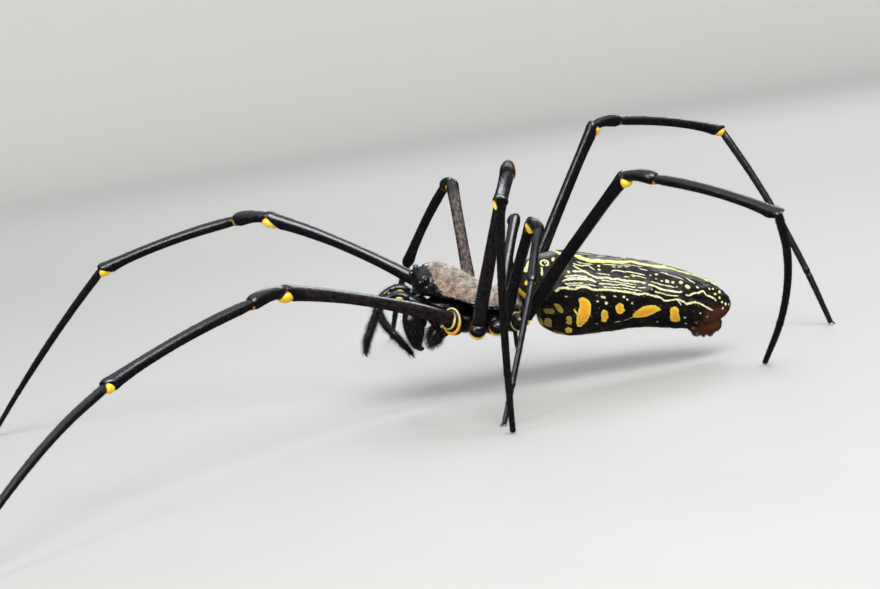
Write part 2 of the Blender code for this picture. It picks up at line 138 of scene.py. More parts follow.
def addRings(shape, rings, slot=0, patch=(0.01, 0.01, 0.99, 0.99), **marks):
    # closes the rings into a skin with a pole at each end, facing out
    rows, columns = rings.shape[:2]
    points = np.vstack([rings.reshape(-1, 3), rings[0].mean(0), rings[-1].mean(0)])
    i, j = (a.ravel() for a in np.meshgrid(np.arange(rows - 1), np.arange(columns), indexing="ij"))
    k = (j + 1) % columns
    quads = np.stack([i * columns + j, i * columns + k, (i + 1) * columns + k, (i + 1) * columns + j], -1)
    quadSpots = np.stack([np.stack([i, j], -1), np.stack([i, j + 1], -1), np.stack([i + 1, j + 1], -1),
                          np.stack([i + 1, j], -1)], 1).astype(float)
    j = np.arange(columns)
    k = (j + 1) % columns
    zero, end = np.zeros(columns), np.full(columns, rows - 1.0)
    poleA, poleB = np.full(columns, rows * columns), np.full(columns, rows * columns + 1)
    caps = np.vstack([np.stack([k, j, poleA], -1), np.stack([j + (rows - 1) * columns, k + (rows - 1) * columns, poleB], -1)])
    capSpots = np.vstack([
        np.stack([np.stack([zero, j + 1], -1), np.stack([zero, j], -1), np.stack([zero - 0.5, j + 0.5], -1)], 1),
        np.stack([np.stack([end, j], -1), np.stack([end, j + 1], -1), np.stack([end + 0.5, j + 0.5], -1)], 1)])
    a, b, c, d = (points[quads[:, q]] for q in range(4))
    volume = np.einsum("ij,ij->", a, np.cross(b, c)) + np.einsum("ij,ij->", a, np.cross(c, d))
    if volume < 0:
        quads, quadSpots, caps, capSpots = quads[:, ::-1], quadSpots[:, ::-1], caps[:, ::-1], capSpots[:, ::-1]
    low, high = np.array(patch[:2]), np.array(patch[2:])
    spots = [low + (s + [0.5, 0]) / [rows, columns] * (high - low) for s in (quadSpots, capSpots)]
    full = {}
    for name, value in marks.items():
        value = np.asarray(value, float)
        if value.shape[:2] != (rows, columns):
            value = np.broadcast_to(value, (rows, columns) + value.shape)
        flat = value.reshape(rows * columns, -1)
        poles = np.stack([value[0].reshape(columns, -1).mean(0), value[-1].reshape(columns, -1).mean(0)])
        full[name] = np.vstack([flat, poles])
    addFaces(shape, points, [quads, caps], spots, slot, full)


def addHairs(shape, roots, ways, lies, lengths, widths, places, slot=0, flat=0.6, bend=0.25, **marks):
    # tapered hairs of three sides, sunk a little at the root, each a small patch on the bake map
    count = len(roots)
    ways = unit(ways)
    side = unit(np.cross(ways, lies) + 1e-9)
    thick = np.cross(side, ways)
    lengths, widths = lengths[:, None], widths[:, None]
    curve = unit(lies) * bend * lengths
    levels = ((-0.06, 0.9, 0.0), (0.5, 0.8, 0.25), (1.0, 0.0, 1.0))
    rows = []
    for along, share, bent in levels[:2]:
        middle = roots + ways * lengths * along + curve * bent
        for angle in (90, 210, 330):
            rows.append(middle + share * widths / 2 * (side * cos(radians(angle)) + thick * flat * sin(radians(angle))))
    rows.append(roots + ways * lengths + curve)
    points = np.stack(rows, 1).reshape(-1, 3)
    points[:, 2] = np.maximum(points[:, 2], 0.01)  # no hair goes through the floor
    start = np.arange(count)[:, None] * 7
    quads = np.concatenate([start + [k, (k + 1) % 3, 3 + (k + 1) % 3, 3 + k] for k in range(3)])
    tips = np.concatenate([start + [3 + k, 3 + (k + 1) % 3, 6] for k in range(3)])
    feet = start + [2, 1, 0]
    size = 0.003
    at = places[:, None, :]
    quadSpots = np.concatenate([at + size * np.array([[k / 3, 0], [(k + 1) / 3, 0], [(k + 1) / 3, 0.5], [k / 3, 0.5]])
                                for k in range(3)])
    tipSpots = np.concatenate([at + size * np.array([[k / 3, 0.5], [(k + 1) / 3, 0.5], [(k + 0.5) / 3, 1]])
                               for k in range(3)])
    footSpots = at + size * np.array([[0, -0.1], [0.1, 0], [0, 0]])
    full = {name: np.repeat(np.asarray(value, float), 7, axis=0).reshape(count * 7, -1) for name, value in marks.items()}
    full["tip"] = np.tile([0, 0, 0, 0.5, 0.5, 0.5, 1.0], count)[:, None]
    addFaces(shape, points, [quads, np.vstack([tips, feet])], [quadSpots, np.vstack([tipSpots, footSpots])], slot, full)


def makePiece(name, shape, materials, replaced=(), keepMap=False):
    points = np.vstack(shape["points"]) * millimetre
    corners = np.concatenate(shape["corners"]).astype(np.int32)
    sizes = np.concatenate(shape["sizes"])
    mesh = bpy.data.meshes.new(name)
    mesh.vertices.add(len(points))
    mesh.vertices.foreach_set("co", points.astype(np.float32).ravel())
    mesh.loops.add(len(corners))
    mesh.loops.foreach_set("vertex_index", corners)
    mesh.polygons.add(len(sizes))
    mesh.polygons.foreach_set("loop_start", np.concatenate([[0], np.cumsum(sizes)[:-1]]).astype(np.int32))
    mesh.polygons.foreach_set("material_index", np.concatenate(shape["slots"]).astype(np.int32))
    mesh.polygons.foreach_set("use_smooth", np.ones(len(sizes), bool))
    mesh.update(calc_edges=True)
    for mark, runs in shape["marks"].items():
        depth = runs[0][1].shape[1]
        values = np.zeros((len(points), depth), np.float32)
        for first, run in runs:
            values[first:first + len(run)] = run
        layer = mesh.attributes.new(mark, "FLOAT_VECTOR" if depth == 3 else "FLOAT", "POINT")
        layer.data.foreach_set("vector" if depth == 3 else "value", values.ravel())
    if keepMap:
        bakeMap = mesh.uv_layers.new(name="OFBake")
        bakeMap.data.foreach_set("uv", np.concatenate(shape["places"]).astype(np.float32).ravel())
    for material in materials:
        mesh.materials.append(material)
    piece = bpy.data.objects.new(name, mesh)
    bpy.context.scene.collection.objects.link(piece)
    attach(piece, "root")
    if replaced:
        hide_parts(*replaced)
    print(f"  {name}: {int((sizes - 2).sum())} triangles")
    return piece


def scatter(rings, count, draw, weight=None):
    # random places on a ring skin, even by area: point, normal, way along the rows, and place on the map
    rows, columns = rings.shape[:2]
    closed = np.concatenate([rings, rings[:, :1]], 1)
    along, around = np.diff(closed, axis=0)[:, :-1], np.diff(closed, axis=1)[:-1]
    normals = np.cross(along, around)
    area = np.linalg.norm(normals, axis=-1)
    centre = rings.mean((0, 1))
    outward = np.einsum("ijk,ijk->", normals, rings[:-1] - centre) > 0
    chance = area if weight is None else area * weight[:-1]
    picks = draw.choice(area.size, size=count, p=(chance / chance.sum()).ravel())
    i, j = np.divmod(picks, columns)
    s, t = draw.random(count)[:, None], draw.random(count)[:, None]
    points = (closed[i, j] * (1 - s) * (1 - t) + closed[i + 1, j] * s * (1 - t)
              + closed[i, j + 1] * (1 - s) * t + closed[i + 1, j + 1] * s * t)
    normal = unit(normals[i, j]) * (1 if outward else -1)
    places = np.stack([(i + s[:, 0]) / rows, (j + t[:, 0]) / columns], -1) * 0.97 + 0.01
    return points, normal, unit(along[i, j]), places, (i, j)


def turnAbout(vectors, axes, angles):
    c, s = np.cos(angles)[:, None], np.sin(angles)[:, None]
    return vectors * c + np.cross(axes, vectors) * s + axes * np.sum(vectors * axes, -1, keepdims=True) * (1 - c)


def carriedFrames(path, hint):
    # the way along a path, and two directions across it that don't twist
    along = unit(np.gradient(path, axis=0))
    across = np.empty_like(along)
    current = np.asarray(hint, float)
    for k, way in enumerate(along):
        current = current - way * (current @ way)
        current = current / np.linalg.norm(current)
        across[k] = current
    return along, across, np.cross(along, across)


def sweptRings(path, radii, sides, hint=(0, 0, 1), tall=1.0, capLength=(0.5, 0.5)):
    # rings round a path, rounded off at both ends; radii at even places along it
    path = np.asarray(path, float)
    run = np.concatenate([[0], np.cumsum(np.linalg.norm(np.diff(path, axis=0), axis=1))])
    shares = run / run[-1]
    size = smoothValue(shares, np.linspace(0, 1, len(radii)), radii) if len(radii) > 1 else np.full(len(run), radii[0])
    for k, (distance, cap) in enumerate(zip((run, run[-1] - run), capLength)):
        reach = max(cap * radii[0 if k == 0 else -1], 1e-6)
        inside = np.clip(1 - distance / reach, 0, 0.995)
        size = size * np.sqrt(1 - inside ** 2)
    along, across, other = carriedFrames(path, hint)
    angles = np.linspace(0, 2 * pi, sides, endpoint=False)
    local = size[:, None, None] * np.stack([np.cos(angles) * tall, np.sin(angles)], -1)[None]
    rings = path[:, None] + local[..., :1] * across[:, None] + local[..., 1:] * other[:, None]
    lie = np.concatenate([local, np.broadcast_to(run[:, None, None], local.shape[:2] + (1,))], -1)
    return rings, lie


def ballRings(centre, halfSizes, axes, rows=20, columns=28):
    # an ellipsoid with its poles on the last axis
    t = np.linspace(0.06, pi - 0.06, rows)[:, None, None]
    p = np.linspace(0, 2 * pi, columns, endpoint=False)[None, :, None]
    a, b, c = (np.asarray(axis, float) for axis in axes)
    local = (np.sin(t) * np.cos(p) * halfSizes[0] * a + np.sin(t) * np.sin(p) * halfSizes[1] * b
             - np.cos(t) * halfSizes[2] * c)
    return np.asarray(centre, float) + local


def stationedRings(ends, stations, rows, columns):
    # a ball drawn out along the body, its rings sized by stations of (back, half width, top, widest level, bottom)
    (start, startLevel), (stop, stopLevel) = ends
    middle, half = (start + stop) / 2, (stop - start) / 2
    angles = [0.0] + [acos((middle - s[0]) / half) for s in stations] + [pi]
    t = np.linspace(0.03, pi - 0.03, rows)
    form = {
        "t": t, "back": middle - half * np.cos(t), "middle": middle, "half": half,
        "width": smoothValue(t, angles, [0.0] + [s[1] for s in stations] + [0.0]),
        "level": smoothValue(t, angles, [startLevel] + [s[3] for s in stations] + [stopLevel]),
        "top": smoothValue(t, angles, [0.0] + [s[2] - s[3] for s in stations] + [0.0]),
        "bottom": smoothValue(t, angles, [0.0] + [s[3] - s[4] for s in stations] + [0.0]),
        "around": np.linspace(0, 2 * pi, columns, endpoint=False)}
    around = form["around"][None]
    rise = np.where(np.sin(around) > 0, form["top"][:, None], form["bottom"][:, None])
    rings = np.stack([np.broadcast_to(form["back"][:, None], rise.shape), form["width"][:, None] * np.cos(around),
                      form["level"][:, None] + rise * np.sin(around)], -1)
    return rings, form


def ringNormals(rings):
    along = np.gradient(rings, axis=0)
    around = np.roll(rings, -1, axis=1) - np.roll(rings, 1, axis=1)
    normals = unit(np.cross(along, around))
    centre = rings.mean((0, 1))
    return normals if np.einsum("ijk,ijk->", normals, rings - centre) > 0 else -normals


# Finishes

def addNode(tree, kind, inputs=None, **settings):
    node = tree.nodes.new(kind)
    for name, value in settings.items():
        setattr(node, name, value)
    for name, value in (inputs or {}).items():
        if isinstance(value, bpy.types.NodeSocket):
            tree.links.new(value, node.inputs[name])
        else:
            node.inputs[name].default_value = value
    return node


def newFinish(name, colour=(0.5, 0.5, 0.5), **sockets):
    material = bpy.data.materials.new(name)
    material.use_nodes = True
    tree = material.node_tree
    shader = tree.nodes["Principled BSDF"]
    shader.inputs["Base Color"].default_value = (*colour, 1)
    material.diffuse_color = (*colour, 1)
    for key, value in sockets.items():
        shader.inputs[key.replace("_", " ")].default_value = value
    return material, tree, shader


def attribute(tree, name, output="Fac"):
    return addNode(tree, "ShaderNodeAttribute", attribute_name=name).outputs[output]


def stretched(tree, vector, scale):
    return addNode(tree, "ShaderNodeMapping", {"Vector": vector, "Scale": scale}).outputs["Vector"]


def noise(tree, vector, scale, detail=4.0, roughness=0.55, output="Fac"):
    return addNode(tree, "ShaderNodeTexNoise", {"Vector": vector, "Scale": scale, "Detail": detail,
                                                "Roughness": roughness}).outputs[output]


def spread(tree, value, low, high, toLow=0.0, toHigh=1.0):
    return addNode(tree, "ShaderNodeMapRange", {"Value": value, "From Min": low, "From Max": high, "To Min": toLow,
                                                "To Max": toHigh}).outputs["Result"]


def blend(tree, share, first, second, how="MIX"):
    node = addNode(tree, "ShaderNodeMix", data_type="RGBA", blend_type=how)
    for socket, value in ((node.inputs[0], share), (node.inputs[6], first), (node.inputs[7], second)):
        if isinstance(value, bpy.types.NodeSocket):
            tree.links.new(value, socket)
        elif isinstance(value, tuple):
            socket.default_value = (*value, 1)
        else:
            socket.default_value = value
    return node.outputs[2]


def times(tree, first, second, operation="MULTIPLY"):
    node = addNode(tree, "ShaderNodeMath", operation=operation)
    for socket, value in zip(node.inputs, (first, second)):
        if isinstance(value, bpy.types.NodeSocket):
            tree.links.new(value, socket)
        else:
            socket.default_value = value
    return node.outputs[0]


def bumps(tree, shader, *layers):
    # layers of (height, distance in metres), the coarse one first
    normal = None
    for height, distance in layers:
        inputs = {"Height": height, "Distance": distance, "Strength": 1.0}
        if normal is not None:
            inputs["Normal"] = normal
        normal = addNode(tree, "ShaderNodeBump", inputs).outputs["Normal"]
    tree.links.new(normal, shader.inputs["Normal"])


def makeCuticle():
    # glossy black, with short streaks of close hair sockets and a thin brown or dusty bloom where marked
    material, tree, shader = newFinish("blackCuticle", (0.006, 0.006, 0.008), Roughness=0.2)
    shader.inputs["Coat Roughness"].default_value = 0.12
    lie = attribute(tree, "lie", "Vector")
    streaks = noise(tree, stretched(tree, lie, (1, 1, 0.3)), 5.0, 6.0, 0.6)
    sockets = noise(tree, stretched(tree, lie, (1, 1, 0.55)), 14.0, 3.0, 0.6)
    patches = noise(tree, lie, 0.35, 3.0)
    black = blend(tree, spread(tree, patches, 0.35, 0.7), (0.0025, 0.0025, 0.004), (0.007, 0.005, 0.005))
    dust = noise(tree, stretched(tree, lie, (1, 1, 0.6)), 2.6, 4.0, 0.65)
    brown = blend(tree, spread(tree, dust, 0.42, 0.6), (0.012, 0.007, 0.006), (0.30, 0.20, 0.155))
    colour = blend(tree, attribute(tree, "brown"), black, brown)
    tree.links.new(colour, shader.inputs["Base Color"])
    gloss = spread(tree, streaks, 0.3, 0.75, 0.09, 0.30)
    dim = attribute(tree, "dim")
    tree.links.new(times(tree, times(tree, dim, -0.5), 0.62, "ADD"), shader.inputs["Specular IOR Level"])
    tree.links.new(times(tree, times(tree, dim, -0.4), 0.4, "ADD"), shader.inputs["Coat Weight"])
    matte = times(tree, attribute(tree, "matte"), 0.35)
    tree.links.new(times(tree, gloss, matte, "ADD"), shader.inputs["Roughness"])
    bumps(tree, shader, (streaks, 0.000030), (sockets, 0.000018))
    return material


def makeMembrane():
    # soft skin of the joints: cream, golden yellow, orange, red-brown and at last black as the warmth rises
    material, tree, shader = newFinish("jointMembrane", (0.90, 0.55, 0.03), Roughness=0.34)
    shader.inputs["Subsurface Weight"].default_value = 0.12
    shader.inputs["Subsurface Radius"].default_value = (0.8, 0.4, 0.1)
    shader.inputs["Subsurface Scale"].default_value = 0.0004
    lie = attribute(tree, "lie", "Vector")
    clouds = noise(tree, lie, 1.6, 4.0)
    wrinkles = noise(tree, stretched(tree, lie, (1, 1, 3)), 4.5, 5.0)
    warmth = times(tree, spread(tree, clouds, 0.3, 0.7, -0.16, 0.16), attribute(tree, "warmth"), "ADD")
    cream = blend(tree, spread(tree, warmth, 0.0, 0.35), (0.80, 0.66, 0.34), (0.93, 0.66, 0.035))
    orange = blend(tree, spread(tree, warmth, 0.4, 0.75), cream, (0.85, 0.33, 0.015))
    brown = blend(tree, spread(tree, warmth, 0.8, 1.1), orange, (0.26, 0.06, 0.015))
    black = blend(tree, spread(tree, warmth, 1.15, 1.6), brown, (0.010, 0.006, 0.005))
    tree.links.new(black, shader.inputs["Base Color"])
    bumps(tree, shader, (wrinkles, 0.00004))
    return material


def makeBands():
    # the abdomen: near black, with pale lines and dots and the yellow spots with orange middles
    material, tree, shader = newFinish("bandedSkin", (0.02, 0.018, 0.01), Roughness=0.3)
    lie = attribute(tree, "lie", "Vector")
    grain = noise(tree, lie, 9.0, 5.0, 0.65)
    clouds = noise(tree, lie, 0.9, 4.0)
    ground = blend(tree, spread(tree, clouds, 0.35, 0.7), (0.003, 0.003, 0.003), (0.013, 0.009, 0.006))
    rusty = blend(tree, spread(tree, grain, 0.3, 0.7), (0.035, 0.010, 0.006), (0.11, 0.036, 0.014))
    ground = blend(tree, attribute(tree, "rust"), ground, rusty)
    pale = blend(tree, spread(tree, grain, 0.3, 0.7), (0.52, 0.49, 0.27), (0.84, 0.80, 0.54))
    bright = blend(tree, spread(tree, grain, 0.3, 0.7), (0.74, 0.68, 0.12), (0.95, 0.90, 0.30))
    line = blend(tree, attribute(tree, "gold"), pale, bright)
    rim = blend(tree, spread(tree, grain, 0.3, 0.7), (0.72, 0.52, 0.03), (0.88, 0.68, 0.08))
    middle = blend(tree, spread(tree, grain, 0.35, 0.65), (0.80, 0.30, 0.012), (0.92, 0.46, 0.03))
    spot = blend(tree, attribute(tree, "core"), rim, middle)
    olive = blend(tree, spread(tree, grain, 0.3, 0.7), (0.16, 0.12, 0.03), (0.30, 0.24, 0.07))
    spot = blend(tree, attribute(tree, "dull"), spot, olive)
    rough = times(tree, spread(tree, grain, 0.3, 0.7, -0.14, 0.14), attribute(tree, "mark"), "ADD")
    worn = spread(tree, rough, 0.35, 0.6)
    colour = blend(tree, worn, ground, line)
    spotShare = spread(tree, times(tree, spread(tree, grain, 0.3, 0.7, -0.1, 0.1), attribute(tree, "spot"), "ADD"),
                       0.35, 0.6)
    colour = blend(tree, spotShare, colour, spot)
    tree.links.new(colour, shader.inputs["Base Color"])
    shader.inputs["Specular IOR Level"].default_value = 0.32
    tree.links.new(spread(tree, grain, 0.3, 0.7, 0.2, 0.38), shader.inputs["Roughness"])
    creases = noise(tree, stretched(tree, lie, (0.4, 1, 1)), 3.2, 6.0, 0.6)
    bumps(tree, shader, (creases, 0.00004), (grain, 0.000016))
    return material


def makeDown():
    # silvery down: warm grey and pinkish brown in patches, paler towards the tips
    material, tree, shader = newFinish("silveryDown", (0.45, 0.38, 0.32), Roughness=0.6)
    shader.inputs["Sheen Weight"].default_value = 0.25
    shader.inputs["Sheen Roughness"].default_value = 0.4
    tone = attribute(tree, "tone")
    warm = attribute(tree, "warm")
    silver = blend(tree, tone, (0.22, 0.16, 0.10), (1.0, 0.95, 0.82))
    pink = blend(tree, tone, (0.12, 0.045, 0.02), (1.0, 0.72, 0.55))
    colour = blend(tree, warm, silver, pink)
    root = blend(tree, spread(tree, attribute(tree, "tip"), 0.0, 0.4), (0.52, 0.40, 0.30), colour)
    tree.links.new(root, shader.inputs["Base Color"])
    return material


def makeLens():
    material, tree, shader = newFinish("eyeLens", (0.006, 0.004, 0.004), Roughness=0.04)
    shader.inputs["Coat Weight"].default_value = 1.0
    shader.inputs["Coat Roughness"].default_value = 0.02
    place = addNode(tree, "ShaderNodeTexCoord").outputs["Object"]
    cloud = noise(tree, place, 2500.0, 2.0)
    colour = blend(tree, spread(tree, cloud, 0.4, 0.7), (0.004, 0.003, 0.004), (0.02, 0.008, 0.006))
    tree.links.new(colour, shader.inputs["Base Color"])
    return material


def makeBristle():
    material, tree, shader = newFinish("blackBristle", (0.014, 0.012, 0.012), Roughness=0.35)
    colour = blend(tree, attribute(tree, "tone"), (0.007, 0.006, 0.007), (0.09, 0.065, 0.05))
    colour = blend(tree, spread(tree, attribute(tree, "tip"), 0.4, 1.0, 0.0, 0.5), colour, (0.035, 0.025, 0.02))
    tree.links.new(colour, shader.inputs["Base Color"])
    return material


def makeHorn():
    # claws and fangs: black with a red-brown, slightly clear tip
    material, tree, shader = newFinish("darkHorn", (0.02, 0.008, 0.006), Roughness=0.18)
    lie = attribute(tree, "lie", "Vector")
    streaks = noise(tree, stretched(tree, lie, (1, 1, 0.2)), 6.0)
    colour = blend(tree, spread(tree, streaks, 0.35, 0.7), (0.010, 0.006, 0.006), (0.07, 0.018, 0.010))
    tree.links.new(colour, shader.inputs["Base Color"])
    bumps(tree, shader, (streaks, 0.00002))
    return material


finishes = {"cuticle": makeCuticle(), "membrane": makeMembrane(), "bands": makeBands(), "down": makeDown(),
            "lens": makeLens(), "bristle": makeBristle(), "horn": makeHorn()}
print("finishes made")


# The abdomen

abdomen = {
    "ends": ((-2.1, 1.9), (25.8, -0.5)),
    "stations": ((-1.3, 2.2, 4.3, 2.0, 0.5), (0.4, 3.4, 5.7, 2.0, -0.9), (1.5, 4.4, 6.0, 1.7, -3.3),
                 (4.6, 5.7, 6.4, 1.3, -4.5),
                 (9.6, 5.9, 5.65, 1.0, -4.05), (14.2, 5.6, 5.1, 0.8, -3.45), (18.8, 4.9, 4.0, 0.2, -3.6),
                 (22.2, 3.8, 2.75, -0.5, -3.45), (24.4, 2.3, 1.45, -0.6, -2.5)),
    "rows": 258, "columns": 380,
    "lineRise": 0.03,        # how far the pale lines stand up
    "edge": 0.07,            # softness of every marking's edge
    "hairs": 5200,
}

# Markings on the flank, at (back, up): a thickness, how golden they are, and the line through their points.
flankLines = (
    (0.78, 1.0, ((5.9, 5.8), (7.3, 5.35), (8.8, 5.3), (11.2, 5.1), (12.6, 5.1), (14.3, 4.8), (16.0, 4.5),
                 (17.4, 4.3), (18.9, 3.85), (20.4, 3.4), (21.6, 2.95))),
    (0.42, 1.0, ((21.4, 3.0), (22.5, 2.6), (24.0, 1.75))),
    (0.18, 0.17, ((5.1, 5.1), (6.1, 4.85), (7.0, 4.85), (7.3, 4.65), (7.8, 4.35))),
    (0.18, 0.17, ((5.1, 4.9), (5.9, 4.45), (6.7, 4.15))),
    (0.17, 0.14, ((10.1, 4.65), (10.5, 4.65))),
    (0.17, 0.14, ((10.85, 4.65), (11.4, 4.65))),
    (0.17, 0.14, ((11.7, 4.65), (12.4, 4.6))),
    (0.17, 0.14, ((13.6, 4.4), (14.55, 4.15))),
    (0.2, 0.21, ((9.95, 4.1), (10.25, 4.25), (11.2, 4.15), (11.6, 4.05), (12.3, 4.05), (14.1, 3.65))),
    (0.15, 0.1, ((11.5, 3.55), (12.1, 3.5))),
    (0.15, 0.1, ((12.5, 3.55), (12.85, 3.5))),
    (0.26, 0.24, ((5.0, 4.2), (5.9, 4.2), (6.7, 4.1), (7.2, 3.8), (8.1, 3.45), (9.4, 3.45), (10.0, 3.25),
                 (10.7, 3.3), (11.2, 3.15), (12.8, 2.95), (14.2, 2.75))),
    (0.24, 0.21, ((14.5, 2.55), (15.3, 2.35), (16.1, 2.0), (17.0, 1.8), (18.0, 1.6), (18.85, 1.55))),
    (0.18, 0.17, ((4.0, 3.6), (5.3, 3.7), (5.9, 3.65), (6.8, 3.55))),
    (0.22, 0.21, ((3.65, 3.0), (4.2, 3.2), (5.4, 3.25), (6.75, 3.25), (7.6, 3.05), (7.9, 2.9))),
    (0.15, 0.1, ((4.0, 2.7), (5.4, 2.8), (6.25, 2.8))),
    (0.16, 0.14, ((8.2, 2.75), (9.4, 2.7), (10.3, 2.55), (11.1, 2.6), (12.2, 2.35), (12.8, 2.25))),
    (0.14, 0.1, ((13.25, 2.2), (14.2, 2.2))),
    (0.27, 0.21, ((2.9, 1.7), (3.3, 2.1), (4.05, 2.2), (5.15, 2.05), (5.8, 2.3), (6.8, 2.3), (7.55, 2.0), (8.9, 2.0),
                 (10.2, 1.9), (12.4, 1.6), (13.2, 1.4), (14.05, 1.5))),
    (0.22, 0.17, ((14.05, 1.5), (15.0, 1.2), (15.9, 1.0), (16.6, 0.55), (17.45, 0.6), (18.2, 0.65), (18.85, 0.45),
                 (19.35, 0.1), (19.7, 0.1), (20.45, 0.25), (21.25, 0.0), (22.3, -0.6), (23.0, -0.95))),
    (0.14, 0.07, ((18.35, 0.5), (18.7, -0.1))),
    (0.2, 0.17, ((19.3, 1.2), (19.8, 1.1), (20.4, 1.35), (20.95, 1.35), (21.7, 1.5), (22.05, 1.05), (22.75, 0.75),
                 (23.45, 0.25))),
    (0.18, 0.14, ((19.6, 3.1), (20.7, 2.5))),
    (0.32, 0.28, ((1.25, 4.5), (1.2, 3.6))),
    (0.55, 0.0, ((-0.75, 3.9), (-0.45, 4.6), (-0.1, 5.2))),
    (0.14, 0.1, ((5.6, 5.25), (6.6, 5.05), (7.6, 4.95))),
    (0.13, 0.1, ((8.9, 4.9), (10.0, 4.85), (11.3, 4.8), (12.6, 4.75), (13.9, 4.55))),
    (0.13, 0.1, ((8.0, 3.95), (9.0, 3.85), (9.8, 3.75))),
    (0.13, 0.08, ((12.3, 3.75), (13.2, 3.55), (14.3, 3.3))),
    (0.13, 0.08, ((4.2, 3.35), (5.1, 3.45), (6.2, 3.4), (7.4, 3.35))),
    (0.12, 0.06, ((8.6, 3.15), (9.8, 3.0), (10.9, 2.85), (12.0, 2.7), (13.0, 2.55))),
    (0.12, 0.06, ((4.3, 2.45), (5.6, 2.55), (6.9, 2.6), (7.9, 2.45))),
    (0.12, 0.06, ((8.8, 2.35), (10.0, 2.25), (11.3, 2.2), (12.4, 2.0), (13.6, 1.8))),
    (0.13, 0.08, ((14.9, 2.9), (15.9, 2.6), (17.0, 2.35), (17.9, 2.15))),
    (0.12, 0.06, ((15.3, 1.75), (16.4, 1.4), (17.5, 1.15), (18.4, 1.1))),
    (0.13, 0.08, ((16.2, 3.9), (17.2, 3.6), (18.3, 3.3), (19.2, 2.95))),
    (0.18, 0.03, ((4.0, 1.1), (4.3, 1.2))),
    (0.12, 0.03, ((10.35, -2.3), (11.3, -2.05))),
    (0.11, 0.03, ((11.6, -2.05), (12.9, -1.5))),
)
# A ring on the front shoulder: centre, radius, thickness.
shoulderRing = ((1.6, 5.05), 0.5, 0.24)
# Dots at (back, up): radius, how golden.
flankDots = (
    (0.15, 0.4, ((8.4, 4.75), (8.4, 4.35), (4.5, 4.15), (1.7, 5.1))),
    (0.10, 0.2, ((14.95, 1.95), (15.45, 1.65), (15.6, 3.2), (16.3, 2.95), (14.9, 3.6), (18.2, 2.2), (21.0, 3.6))),
    (0.17, 0.4, ((15.7, 3.7), (17.0, 3.7), (17.75, 2.7), (20.95, 2.0), (22.6, 1.7), (23.15, 1.65), (23.4, 1.05),
                 (24.0, 0.55), (24.3, 0.0), (24.4, -0.8), (24.75, -0.3), (25.3, -0.45))),
    (0.25, 0.5, ((17.0, 2.9), (18.8, 2.65), (24.1, 1.2))),
    (0.31, 0.4, ((19.65, 2.15),)),
    (0.17, 0.2, ((9.15, 0.3), (8.85, 1.05), (20.8, -3.4))),
    (0.10, 0.0, ((8.05, 0.55), (10.2, 1.2), (12.4, 0.3), (8.15, -2.5), (21.25, -1.2), (22.3, -1.75), (19.35, -1.75),
                 (19.55, -2.6), (20.95, -2.55), (15.9, -2.3))),
    (0.14, 0.2, ((11.4, 1.1), (11.8, 0.75), (8.6, 1.1))),
)
# Yellow spots, at (back, up, half thickness), and how dull they are.
flankSpots = (
    (0.0, ((6.15, 0.62, 0.42), (6.5, 0.2, 0.64), (6.5, -0.6, 0.74), (6.4, -1.4, 0.74), (6.15, -2.1, 0.58),
           (6.0, -2.7, 0.3))),
    (0.1, ((5.15, -0.55, 0.09), (5.6, -1.1, 0.14), (5.9, -1.7, 0.3))),
    (0.0, ((9.0, -0.9, 0.38), (9.05, -1.4, 0.43), (9.05, -1.95, 0.36))),
    (0.0, ((10.9, -0.2, 0.52), (10.95, -0.65, 0.5))),
    (0.0, ((12.95, -1.4, 0.34), (13.5, -1.15, 0.64), (14.2, -0.85, 0.76), (14.95, -0.6, 0.62), (15.5, -0.5, 0.4),
           (15.95, -0.6, 0.16))),
    (0.0, ((17.9, -0.85, 0.62), (17.95, -1.35, 0.56), (18.1, -1.9, 0.66))),
    (0.2, ((4.7, -3.3, 0.4), (4.75, -3.7, 0.4))),
    (0.7, ((4.6, -1.7, 0.3), (4.65, -2.4, 0.32))),
    (0.8, ((2.9, 0.0, 0.22), (3.3, -0.4, 0.4), (3.6, -0.7, 0.3))),
    (1.0, ((1.8, -0.9, 0.36), (2.5, -0.9, 0.36))),
    (0.9, ((2.1, -2.2, 0.45), (2.15, -2.9, 0.5))),
    (0.5, ((1.25, -2.3, 0.3), (1.35, -2.7, 0.3))),
    (0.0, ((-1.95, 2.3, 0.12), (-1.8, 1.75, 0.3), (-1.4, 1.25, 0.45), (-0.9, 0.85, 0.48), (-0.3, 0.6, 0.4),
           (0.25, 0.65, 0.36), (0.8, 1.05, 0.34), (1.3, 1.6, 0.14))),
    (0.0, ((-0.7, 2.4, 0.2), (-0.55, 2.8, 0.16))),
)
